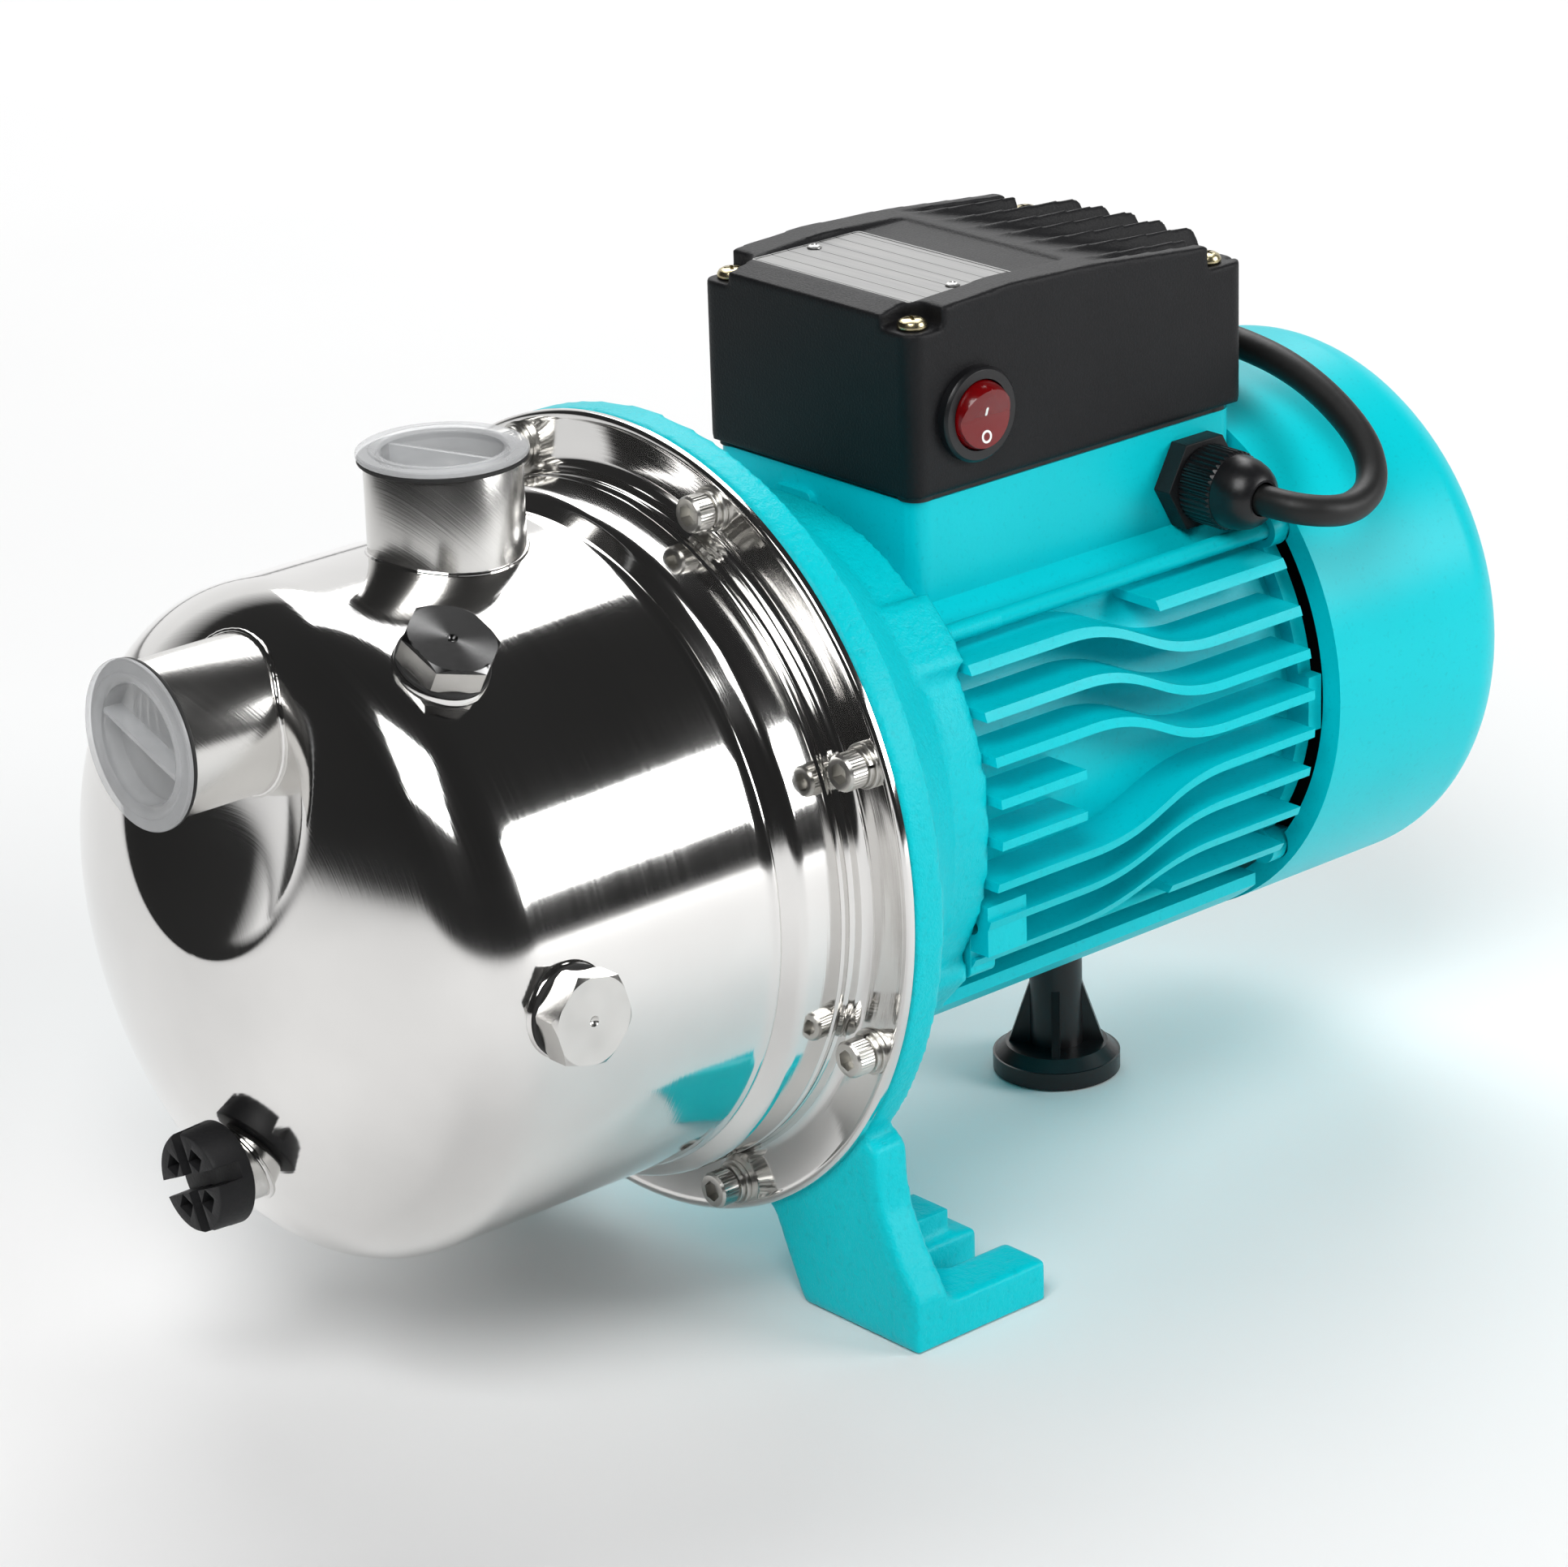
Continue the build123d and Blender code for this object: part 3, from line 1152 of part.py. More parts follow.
with BuildPart() as terminal_gasket:
    with BuildSketch(level(PEDESTAL_TOP)):
        with Locations(((PEDESTAL_START + PEDESTAL_END) / 2, 0)):
            RectangleRounded(PEDESTAL_END - PEDESTAL_START - 1, 2 * PEDESTAL_HALF - 1, 6)
            RectangleRounded(
                PEDESTAL_END - PEDESTAL_START - 2 * PEDESTAL_WALL - 1,
                2 * (PEDESTAL_HALF - PEDESTAL_WALL) - 1,
                4,
                mode=Mode.SUBTRACT,
            )
        with Locations(*BOX_SCREWS):
            Circle(SCREW_POST - 0.3)
            Circle(BOX_SCREW + 0.3, mode=Mode.SUBTRACT)
    extrude(amount=GASKET)
save(terminal_gasket, "terminal_gasket")

# ---------------------------------------------------------------- rocker switch
BUTTON_PIVOT_Y = -BOX_HALF - 1.3
BEZEL_OPENING = BUTTON_RADIUS + 0.3
switch_plane = section(-BOX_HALF)
with BuildPart() as switch_body:
    with BuildSketch(switch_plane):
        with Locations((SWITCH_X, SWITCH_Z)):
            Circle(BEZEL_RADIUS)
    extrude(amount=BEZEL_THICKNESS)
    chamfer(switch_body.faces().sort_by(Axis.Y)[0].edges(), 0.8)
    with BuildSketch(switch_plane):
        with Locations((SWITCH_X, SWITCH_Z)):
            Circle(SWITCH_BODY)
    extrude(amount=-20)
    with BuildSketch(switch_plane):
        with Locations((SWITCH_X, SWITCH_Z)):
            Circle(BEZEL_OPENING)
    extrude(amount=BEZEL_THICKNESS, mode=Mode.SUBTRACT)
    with BuildSketch(switch_plane):
        with Locations((SWITCH_X, SWITCH_Z)):
            Circle(BEZEL_OPENING)
    extrude(amount=-9, mode=Mode.SUBTRACT)
    with BuildSketch(switch_plane.offset(-20)):
        with Locations(*[(SWITCH_X, SWITCH_Z + step) for step in (-6, 0, 6)]):
            Rectangle(6, 0.8)
    extrude(amount=-9)
save(switch_body, "switch_body")

BUTTON_PIVOT = (JOINT_X + SWITCH_X, BUTTON_PIVOT_Y, SHAFT_HEIGHT + SWITCH_Z)
button_side = Plane(
    (JOINT_X + SWITCH_X, 0, SHAFT_HEIGHT + SWITCH_Z), x_dir=(0, -1, 0), z_dir=(1, 0, 0)
)
with BuildPart() as button_profile:
    with BuildSketch(button_side):
        with BuildLine():
            Polyline(
                (-BUTTON_PIVOT_Y - 5, -12),
                (-BUTTON_PIVOT_Y + 5.4, -12),
                (-BUTTON_PIVOT_Y + 3.0, 0),
                (-BUTTON_PIVOT_Y + 5.4, 12),
                (-BUTTON_PIVOT_Y - 5, 12),
                close=True,
            )
        make_face()
    extrude(amount=12, both=True)
with BuildPart() as rocker_button:
    with Locations(BUTTON_PIVOT):
        Sphere(BUTTON_RADIUS)
    add(button_profile.part.rotate(Axis(BUTTON_PIVOT, (1, 0, 0)), BUTTON_TILT), mode=Mode.INTERSECT)
save(rocker_button, "rocker_button")

# ---------------------------------------------------------------- what the box holds
CAPACITOR_CLEARANCE = 4.0
CAPACITOR_Y = BOX_HALF - BOX_WALL - CAPACITOR_CLEARANCE - CAPACITOR_RADIUS
CAPACITOR_Z = PEDESTAL_FLOOR + CAPACITOR_RADIUS + SEAT_GAP
with BuildPart() as capacitor:
    with BuildSketch(face(BOX_END - 20 - CAPACITOR_LENGTH)):
        with Locations((CAPACITOR_Y, CAPACITOR_Z)):
            Circle(CAPACITOR_RADIUS)
    extrude(amount=CAPACITOR_LENGTH)
    with BuildSketch(face(BOX_END - 20 - CAPACITOR_LENGTH)):
        with Locations((CAPACITOR_Y - 6, CAPACITOR_Z), (CAPACITOR_Y + 6, CAPACITOR_Z)):
            Rectangle(0.8, 6.3)
    extrude(amount=-9)
save(capacitor, "capacitor")

with BuildPart() as terminal_block:
    with BuildSketch(level(PEDESTAL_FLOOR)):
        with Locations((PEDESTAL_START + 48, -20)):
            Rectangle(44, 18)
    extrude(amount=16)
    with BuildSketch(level(PEDESTAL_FLOOR + 16)):
        with Locations((PEDESTAL_START + 48, -20)):
            with GridLocations(10, 9, 4, 2):
                Circle(2.6)
    extrude(amount=-9, mode=Mode.SUBTRACT)
save(terminal_block, "terminal_block")

# ---------------------------------------------------------------- cable gland
gland_plane = Plane(
    (JOINT_X + GLAND_X, -PEDESTAL_HALF, SHAFT_HEIGHT + GLAND_Z), x_dir=(1, 0, 0), z_dir=(0, -1, 0)
)
GLAND_STEM = 9.0
GLAND_LENGTH = GLAND_TIP - PEDESTAL_HALF
with BuildPart() as gland_body:
    with BuildSketch(gland_plane):
        RegularPolygon(GLAND_HEX / 2, 6, major_radius=False)
    extrude(amount=GLAND_BASE)
    with BuildSketch(gland_plane):
        Circle(GLAND_THREAD)
    extrude(amount=GLAND_BASE + 8)
    with BuildSketch(gland_plane):
        Circle(GLAND_THREAD)
    extrude(amount=-GLAND_STEM)
    with BuildSketch(gland_plane.offset(GLAND_BASE + 8)):
        Circle(CORD_RADIUS + 1.6)
    extrude(amount=-40, mode=Mode.SUBTRACT)
save(gland_body, "gland_body")

with BuildPart() as gland_nut:
    with BuildSketch(gland_plane.offset(GLAND_BASE + FIT_GAP)):
        Circle(GLAND_NUT)
    extrude(amount=13)
    with BuildSketch(gland_plane.offset(GLAND_BASE + FIT_GAP + 13)):
        Circle(GLAND_NUT - 0.8)
    extrude(amount=GLAND_LENGTH - GLAND_BASE - 13 - FIT_GAP)
    fillet(gland_nut.faces().sort_by(Axis.Y)[0].edges(), 4.0)
    with BuildSketch(gland_plane.offset(GLAND_BASE + FIT_GAP)):
        Circle(GLAND_THREAD + SEAT_GAP)
    extrude(amount=GLAND_LENGTH - GLAND_BASE - 6, mode=Mode.SUBTRACT)
    with BuildSketch(gland_plane):
        Circle(CORD_RADIUS + 0.4)
    extrude(amount=60, mode=Mode.SUBTRACT)
save(gland_nut, "gland_nut")
seal_start = gland_plane.offset(GLAND_BASE + 8)
seal_length = GLAND_LENGTH - GLAND_BASE - 14
save(peg(seal_start, seal_length, GLAND_THREAD - 0.4, CORD_RADIUS + FIT_GAP), "gland_seal")
locknut_start = gland_plane.offset(-PEDESTAL_WALL)
save(peg(locknut_start, -4, LOCKNUT_RADIUS, GLAND_THREAD + SEAT_GAP), "gland_locknut")

# ---------------------------------------------------------------- rear foot
with BuildPart() as rear_foot:
    with BuildSketch(level(FLOOR)):
        with Locations((POST_X, 0)):
            Circle(POST_BASE)
    extrude(amount=5)
    with BuildSketch(level(FLOOR + 5)):
        with Locations((POST_X, 0)):
            Circle(POST_BASE - 0.6)
    extrude(amount=3, taper=45)
    with BuildSketch(level(FLOOR)):
        with Locations((POST_X, 0)):
            Circle(POST_RADIUS)
    extrude(amount=-FLOOR - FIN_RADIUS - SEAT_GAP)
    for turn in range(4):
        angle = pi / 4 + pi / 2 * turn
        out = (cos(angle), sin(angle), 0)
        rib = Plane((JOINT_X + POST_X, 0, 0), x_dir=out, z_dir=(sin(angle), -cos(angle), 0))
        with BuildSketch(rib):
            with BuildLine():
                Polyline((0, 6), (POST_BASE - 4, 6), (POST_RADIUS, 26), (0, 26), close=True)
            make_face()
        extrude(amount=1.2, both=True)
    with BuildSketch(level(FLOOR)):
        with Locations((POST_X, 0)):
            Circle(5.2)
    extrude(amount=30, mode=Mode.SUBTRACT)
    with BuildSketch(level(FLOOR)):
        with Locations((POST_X, 0)):
            Circle(2.7)
    extrude(amount=60, mode=Mode.SUBTRACT)
save(rear_foot, "rear_foot")

# ---------------------------------------------------------------- power cord, coil and plug
ROUTE = [
    (GLAND_X, -GLAND_TIP + 7, GLAND_Z),
    (GLAND_X + 0.2, -GLAND_TIP - 4.5, GLAND_Z - 0.5),
    (GLAND_X + 7.6, -81.2, 59.4),
    (189, -82.5, 57.6),
    (202, -78.5, 60.8),
    (209.5, -67, 70.5),
    (211.5, -42, 83),
    (210, -14, 88),
    (208, 14, 87.5),
    (205, 44, 76),
    (203, 72, 50),
    (200, 94, 12),
    (195, 107, -30),
    (188, 113, -68),
    (170, 117.5, -101),
    (139, 119, FLOOR + CORD_RADIUS),
    (104, 118, FLOOR + CORD_RADIUS),
]


def corner_radii(points):
    """Arc radius at each inner corner: 0.45 of the shorter run over the tangent of half the turn."""
    radii = []
    for before, here, after in zip(points, points[1:], points[2:]):
        first = Vector(*here) - Vector(*before)
        second = Vector(*after) - Vector(*here)
        half_turn = radians(first.get_angle(second) / 2)
        radii.append(0.45 * min(first.length, second.length) / tan(half_turn))
    return radii


cord_points = [(JOINT_X + x, y, SHAFT_HEIGHT + z) for x, y, z in ROUTE]
cord_radii = corner_radii(cord_points)
print("cord radii", [round(radius, 1) for radius in cord_radii])
with BuildPart() as power_cord:
    with BuildLine():
        cord_path = FilletPolyline(*cord_points, radius=cord_radii)
    with BuildSketch(Plane(cord_path @ 0, z_dir=cord_path % 0)):
        Circle(CORD_RADIUS)
    sweep()
save(power_cord, "power_cord")
cord_length = cord_path.length
cord_solid = pi * CORD_RADIUS**2 * cord_length
print("cord tube", round(cord_length, 1), "volume ratio", round(power_cord.part.volume / cord_solid, 5))
print("cord length", round(cord_length + COIL_TURNS * 2 * pi * COIL_RADIUS, 0))

COIL_HALF = COIL_LAYERS * CORD_RADIUS
with BuildPart() as cord_coil:
    with BuildSketch(level(FLOOR)):
        with Locations((COIL_X, COIL_Y)):
            Circle(COIL_RADIUS + COIL_HALF)
            Circle(COIL_RADIUS - COIL_HALF, mode=Mode.SUBTRACT)
    extrude(amount=2 * COIL_HALF)
    fillet(cord_coil.edges().filter_by(GeomType.CIRCLE), 3)
save(cord_coil, "cord_coil")

PLUG_RADIUS = 18.0
PLUG_BODY = 34.0
PLUG_PIN = 2.4
plug_back = (JOINT_X + COIL_X + COIL_RADIUS, COIL_Y + PLUG_BODY / 2, 2 * COIL_HALF + PLUG_RADIUS + 0.1)
plug_plane = Plane(plug_back, x_dir=(1, 0, 0), z_dir=(0, -1, 0))
with BuildPart() as power_plug:
    with BuildSketch(plug_plane):
        Circle(PLUG_RADIUS)
    extrude(amount=PLUG_BODY)
    fillet(power_plug.faces().sort_by(Axis.Y)[-1].edges(), 8)
    with BuildSketch(plug_plane):
        Circle(CORD_RADIUS + 3.5)
    with BuildSketch(plug_plane.offset(-22)):
        Circle(CORD_RADIUS + 1.2)
    loft()
    with BuildSketch(plug_plane.offset(PLUG_BODY)):
        with Locations((-9.5, 0), (9.5, 0)):
            Circle(PLUG_PIN)
    extrude(amount=19)
save(power_plug, "power_plug")
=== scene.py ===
# %% [markdown]
# # A shallow well jet pump
#
# The pump is rebuilt piece by piece around its packed CAD frame.  Distances in this file are
# in millimetres from the joint between the steel casing and the painted bracket: x runs back
# along the shaft, y to the far side, and z up from the shaft.  One matrix turns them into metres.

# %% Frame
import json
from math import atan2, cos, degrees, exp, pi, radians, sin, sqrt

import bmesh
import bpy
from mathutils import Matrix, Vector

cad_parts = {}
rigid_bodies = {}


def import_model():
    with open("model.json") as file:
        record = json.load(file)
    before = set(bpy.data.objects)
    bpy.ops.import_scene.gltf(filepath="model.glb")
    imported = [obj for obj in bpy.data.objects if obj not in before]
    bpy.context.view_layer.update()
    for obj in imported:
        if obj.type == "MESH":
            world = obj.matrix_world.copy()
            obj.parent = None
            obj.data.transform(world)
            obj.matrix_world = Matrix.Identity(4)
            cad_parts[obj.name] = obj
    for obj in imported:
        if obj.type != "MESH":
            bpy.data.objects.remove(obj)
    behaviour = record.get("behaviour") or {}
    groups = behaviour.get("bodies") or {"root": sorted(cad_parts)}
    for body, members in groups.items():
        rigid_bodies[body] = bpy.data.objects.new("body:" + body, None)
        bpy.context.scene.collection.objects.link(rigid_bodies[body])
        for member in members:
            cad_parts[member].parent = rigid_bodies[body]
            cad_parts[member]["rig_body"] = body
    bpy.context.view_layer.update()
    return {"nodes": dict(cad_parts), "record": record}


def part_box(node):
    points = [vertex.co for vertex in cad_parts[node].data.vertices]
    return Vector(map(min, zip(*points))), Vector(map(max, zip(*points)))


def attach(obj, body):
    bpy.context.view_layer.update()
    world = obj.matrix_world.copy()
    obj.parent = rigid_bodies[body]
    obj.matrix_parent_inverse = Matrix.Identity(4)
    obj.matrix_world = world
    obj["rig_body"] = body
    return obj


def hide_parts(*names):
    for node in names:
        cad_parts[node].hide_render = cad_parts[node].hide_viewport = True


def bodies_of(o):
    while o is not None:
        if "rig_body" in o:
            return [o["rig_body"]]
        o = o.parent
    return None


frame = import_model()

nodes = frame["nodes"]

# %% [markdown]
# Every place in this lesson is a small matrix: an origin, the way its Z points and the way its X
# points.  A shape is first made at the origin in millimetres and is then put there in one step.

# %% Places
MM = 0.001
JOINT_X = -36.0
SHAFT_HEIGHT = 121.3


def spot(x, y, z):
    """A point of the lesson's millimetres in the frame's metres."""
    return Vector(((JOINT_X + x) * MM, y * MM, (SHAFT_HEIGHT + z) * MM))


def place(origin, out, across):
    """Matrix that sends local millimetres to the frame, with local Z along out."""
    up = Vector(out).normalized()
    side = Vector(across)
    side = (side - side.project(up)).normalized()
    turn = Matrix((side, up.cross(side), up)).transposed().to_4x4()
    return Matrix.Translation(spot(*origin)) @ turn @ Matrix.Scale(MM, 4)


def on_shaft(x=0.0):
    """Place on the shaft: local Z runs back, local X to the far side, local Y up."""
    return place((x, 0, 0), (1, 0, 0), (0, 1, 0))


def upright(x, y, z):
    """Place with local Z up and local X back."""
    return place((x, y, z), (0, 0, 1), (1, 0, 0))


def turn_z(angle):
    """Turn about local Z by degrees."""
    return Matrix.Rotation(radians(angle), 4, "Z")


def spoke(x, angle, radius):
    """Place on a radius of the shaft; the angle counts from the near horizontal upwards."""
    out = (0, -cos(radians(angle)), sin(radians(angle)))
    return place((x, out[1] * radius, out[2] * radius), out, (1, 0, 0))


def linked(name, data):
    """A new object with that data, in the scene."""
    thing = bpy.data.objects.new(name, data)
    bpy.context.scene.collection.objects.link(thing)
    return thing


print("origin of the shaft", on_shaft().translation)

# %% [markdown]
# The camera looks down on the pump's suction end from the near left.  It sits 1.5 m away with a
# long lens, which keeps the round flange close to a true ellipse.

# %% Camera
AZIMUTH, ELEVATION, ROLL = radians(-41.62), radians(21.0), radians(-1.55)
EYE = (-835.86, -1025.13, 517.8)
# Focal length, frame and optical centre share one unit, of which the frame is 1932 wide.
FOCAL_LENGTH, FRAME_WIDTH, FRAME_HEIGHT = 6668.16, 1932, 1931
CENTRE_X, CENTRE_Y = 1036.09, 950.18

back = Vector((sin(AZIMUTH) * cos(ELEVATION), -cos(AZIMUTH) * cos(ELEVATION), sin(ELEVATION)))
level_right = Vector((cos(AZIMUTH), sin(AZIMUTH), 0))
level_up = back.cross(level_right)
right = level_right * cos(ROLL) + level_up * sin(ROLL)
up = level_up * cos(ROLL) - level_right * sin(ROLL)

lens = bpy.data.cameras.new("camera")
lens.sensor_width = 36
lens.lens = FOCAL_LENGTH * lens.sensor_width / FRAME_WIDTH
lens.shift_x = (FRAME_WIDTH / 2 - CENTRE_X) / FRAME_WIDTH
lens.shift_y = (CENTRE_Y - FRAME_HEIGHT / 2) / FRAME_WIDTH
lens.clip_end = 50
camera = linked("camera", lens)
facing = Matrix((right, up, back)).transposed().to_4x4()
camera.matrix_world = Matrix.Translation(spot(*EYE)) @ facing
bpy.context.scene.camera = camera
print("lens", round(lens.lens, 1), "mm")

# %% [markdown]
# ## Finishes
#
# Shader sums read like ordinary sums: `Wire` wraps a socket, its operators add Math nodes, and
# its method `node` makes every other kind of node.

# %% Shader sums
class Wire:
    """A shader socket that takes part in sums."""

    def __init__(self, tree, socket=None):
        self.tree = tree
        self.socket = socket

    def node(self, kind, settings=None, inputs=None, out=0):
        """A new shader node of that kind, set up and linked: one of its outputs."""
        made = self.tree.nodes.new("ShaderNode" + kind)
        for key, value in (settings or {}).items():
            if key == "stops":
                ramp = made.color_ramp.elements
                ramp[0].position, ramp[0].color = value[0]
                ramp[1].position, ramp[1].color = value[-1]
                for position, colour in value[1:-1]:
                    ramp.new(position).color = colour
            else:
                setattr(made, key, value)
        for key, value in (inputs or {}).items():
            if isinstance(value, Wire):
                self.tree.links.new(value.socket, made.inputs[key])
            else:
                made.inputs[key].default_value = value
        return Wire(self.tree, made.outputs[out])

    def math(self, operation, first, second):
        """A Math node of two values, each a wire or a number."""
        return self.node("Math", {"operation": operation}, {0: first, 1: second})

    def dot(self, direction):
        """Share of this vector along a fixed direction."""
        return self.node(
            "VectorMath", {"operation": "DOT_PRODUCT"}, {0: self, 1: direction}, "Value"
        )

    def __add__(self, other):
        return self.math("ADD", self, other)

    def __sub__(self, other):
        return self.math("SUBTRACT", self, other)

    def __rsub__(self, other):
        return self.math("SUBTRACT", other, self)

    def __mul__(self, other):
        return self.math("MULTIPLY", self, other)

    __radd__ = __add__
    __rmul__ = __mul__

    def between(self, low, high):
        """This value stretched so that low gives 0 and high gives 1, held inside."""
        return self.node("MapRange", {"clamp": True}, {0: self, 1: low, 2: high})

    def blend(self, first, second):
        """Colour that goes from first to second as this value goes from 0 to 1."""
        return self.node(
            "Mix", {"data_type": "RGBA"}, {0: self, 6: first, 7: second}, out=2
        )


def colour(red, green, blue, share=1.0):
    """Opaque colour, darkened to a share of itself."""
    return (red * share, green * share, blue * share, 1.0)


def grey(value):
    return colour(value, value, value)


print("Wire has", sorted(name for name in vars(Wire) if not name.startswith("__")))

# %% [markdown]
# A finish is one Principled surface.  Its fixed numbers sit on its own sockets, and only colour,
# roughness and the bumped normal vary over the piece, from noise on Object coordinates.

# %% Finish maker
FINISHES = {}


def new_finish(name, **fixed):
    """Add a material with the fixed numbers set; give its coordinates and a setter for the rest."""
    material = bpy.data.materials.new(name)
    material.use_nodes = True
    FINISHES[name] = material
    tree = material.node_tree
    surface = tree.nodes["Principled BSDF"]
    for key, value in fixed.items():
        surface.inputs[key.replace("_", " ")].default_value = value
    here = Wire(tree).node("TexCoord", out="Object")

    def set_varying(**varying):
        for key, value in varying.items():
            tree.links.new(value.socket, surface.inputs[key.replace("_", " ")])

    return here, set_varying


def grain(here, scale, detail=3.0, rough=0.55, stretch=(1, 1, 1)):
    """Noise value, with scale in grains per metre, stretched along the axes."""
    mapped = here.node("Mapping", None, {"Vector": here, "Scale": stretch})
    return here.node(
        "TexNoise",
        None,
        {"Vector": mapped, "Scale": scale, "Detail": detail, "Roughness": rough},
    )


def bump(height, strength, distance):
    """Normal tilted by the height, with the distance in metres."""
    return height.node(
        "Bump", None, {"Strength": strength, "Distance": distance, "Height": height}
    )

# %% [markdown]
# The casing is stainless steel, polished to a mirror.  The wheel leaves hair-fine rings about the
# shaft, so the noise is read along x plus the radius and hardly at all around the barrel.

# %% Mirror steel
def ring_lines(here, scale):
    """Fine lines that run round the shaft, both on the barrel and on the dome."""
    drop = (0, 0, -SHAFT_HEIGHT * MM)
    axis = here.node("Mapping", None, {"Vector": here, "Location": drop})
    flat = here.node("Mapping", None, {"Vector": axis, "Scale": (0, 1, 1)})
    radius = here.node("VectorMath", {"operation": "LENGTH"}, {0: flat}, out="Value")
    x, y, z = [here.node("SeparateXYZ", None, {0: axis}, out=n) for n in range(3)]
    line = here.node(
        "CombineXYZ", None, {0: (x + radius) * scale, 1: y * 14.0, 2: z * 14.0}
    )
    return here.node("TexNoise", None, {"Vector": line, "Scale": 1.0, "Detail": 4.0})


def mirror_steel(name, base, rough, line_strength):
    """Polished steel with a cloudy tone, wiped patches and hair-fine rings."""
    here, set_varying = new_finish(name, Metallic=1.0)
    lines = ring_lines(here, 1600.0)
    cloud = grain(here, 24.0)
    wipe = grain(here, 9.0, stretch=(1, 1, 3))
    set_varying(
        Base_Color=cloud.between(0.3, 0.7).blend(colour(*base, 0.93), colour(*base)),
        Roughness=lines * 0.08 + wipe.between(0.45, 0.8) * 0.06 + rough,
        Normal=bump(lines, line_strength, 0.00006),
    )


mirror_steel("mirror_stainless", (0.80, 0.79, 0.775), 0.035, 0.17)
mirror_steel("satin_stainless", (0.74, 0.73, 0.71), 0.17, 0.35)
print("steels", sorted(FINISHES))

# %% [markdown]
# Bolts and plugs are turned or plated steel: the same idea with coarser lines, a warmer colour
# and more scatter.

# %% Turned and plated metals
def plain_metal(name, base, rough, dark=0.82, scale=260.0, lines=(1, 1, 1), strength=0.15):
    """Metal with a cloudy tone and fine lines or grains."""
    here, set_varying = new_finish(name, Metallic=1.0)
    spots = grain(here, scale, stretch=lines)
    cloud = grain(here, 60.0)
    set_varying(
        Base_Color=cloud.between(0.3, 0.7).blend(colour(*base, dark), colour(*base)),
        Roughness=spots * 0.12 + rough,
        Normal=bump(spots, strength, 0.00005),
    )


plain_metal("turned_stainless", (0.70, 0.69, 0.67), 0.16)
plain_metal("zinc_plate", (0.62, 0.61, 0.58), 0.24)
plain_metal("yellow_zinc", (0.62, 0.54, 0.33), 0.20, dark=0.7)
plain_metal("bearing_steel", (0.60, 0.60, 0.61), 0.14)
plain_metal("cast_brass", (0.72, 0.53, 0.25), 0.30, scale=500.0)
plain_metal("plate_metal", (0.60, 0.60, 0.59), 0.30, lines=(0.04, 1, 1), scale=900.0)
plain_metal(
    "stacked_sheet", (0.34, 0.34, 0.35), 0.38, lines=(6, 0.05, 0.05), scale=300.0, strength=0.6
)
print("metals", sorted(FINISHES))

# %% [markdown]
# The bracket, the motor shell and the fan cover share one teal enamel.  It lies on a sand casting,
# a smoother die casting and a nearly flat sheet, so the recipe takes three grain heights.

# %% Teal enamel
TEAL = (0.0, 0.62, 0.70)


def enamel(name, rough, grains, strength, distance):
    """Teal enamel over a cast surface, with painted shade that makes it a little darker in its
    pits.
    """
    here, set_varying = new_finish(
        name, Coat_Roughness=0.25, Coat_IOR=1.45, Specular_IOR_Level=0.16
    )
    coarse = grain(here, grains, detail=4.0)
    fine = grain(here, grains * 4.3, detail=2.0)
    tone = grain(here, 16.0)
    # Painted shade: the colour is multiplied darker in the pits of the bump, where the coarse noise
    # is low.
    outside_pit_shade = coarse.between(0.25, 0.42)
    shade = tone.between(0.3, 0.7).blend(colour(*TEAL, 0.93), colour(*TEAL))
    set_varying(
        Base_Color=outside_pit_shade.node(
            "Mix", {"data_type": "RGBA", "blend_type": "MULTIPLY"},
            {0: 1.0 - outside_pit_shade, 6: shade, 7: colour(0.80, 0.86, 0.87)}, out=2,
        ),
        Roughness=fine * 0.12 + rough,
        Normal=bump(coarse + fine * 0.35, strength, distance),
        Coat_Weight=tone * 0.1,
    )


enamel("teal_sand_cast", 0.34, 420.0, 0.75, 0.0006)
enamel("teal_die_cast", 0.32, 700.0, 0.25, 0.0003)
enamel("teal_cover", 0.30, 800.0, 0.10, 0.0002)
print("teal finishes ready")

# %% [markdown]
# The switch box is black moulding with an even spark-eroded texture.  Gland, foot, cord and plug
# are smoother blacks.  A moulded black is never quite black, so its colour stays near one percent.

# %% Black mouldings and rubber
def moulding(name, base, rough, grains, strength, **fixed):
    """Moulded plastic or rubber with a fine texture and a trace of dust."""
    here, set_varying = new_finish(name, **fixed)
    spark = grain(here, grains, detail=2.0)
    dust = grain(here, 40.0)
    dusty = colour(*(part * 1.25 + 0.002 for part in base))
    set_varying(
        Base_Color=dust.between(0.35, 0.75).blend(colour(*base), dusty),
        Roughness=spark * 0.16 + dust * 0.08 + rough,
        Normal=bump(spark, strength, 0.0002),
    )


moulding("box_moulding", (0.006, 0.006, 0.007), 0.40, 1500.0, 0.65, Specular_IOR_Level=0.22)
moulding("gloss_black", (0.007, 0.007, 0.008), 0.22, 900.0, 0.08, Specular_IOR_Level=0.4)
moulding("matt_black", (0.009, 0.009, 0.010), 0.42, 1100.0, 0.35, Specular_IOR_Level=0.3)
moulding("seal_rubber", (0.012, 0.012, 0.012), 0.55, 800.0, 0.20)
moulding("cord_rubber", (0.008, 0.008, 0.008), 0.36, 700.0, 0.16, Specular_IOR_Level=0.35)
moulding("glass_filled", (0.055, 0.055, 0.06), 0.42, 600.0, 0.30)
moulding("carbon_face", (0.06, 0.06, 0.065), 0.18, 500.0, 0.10)
moulding("pale_can", (0.55, 0.55, 0.52), 0.40, 500.0, 0.15)
moulding("mark_white", (0.85, 0.85, 0.82), 0.45, 500.0, 0.10)
moulding("varnished_copper", (0.46, 0.16, 0.05), 0.24, 260.0, 0.80)
print("mouldings ready,", len(FINISHES), "finishes so far")

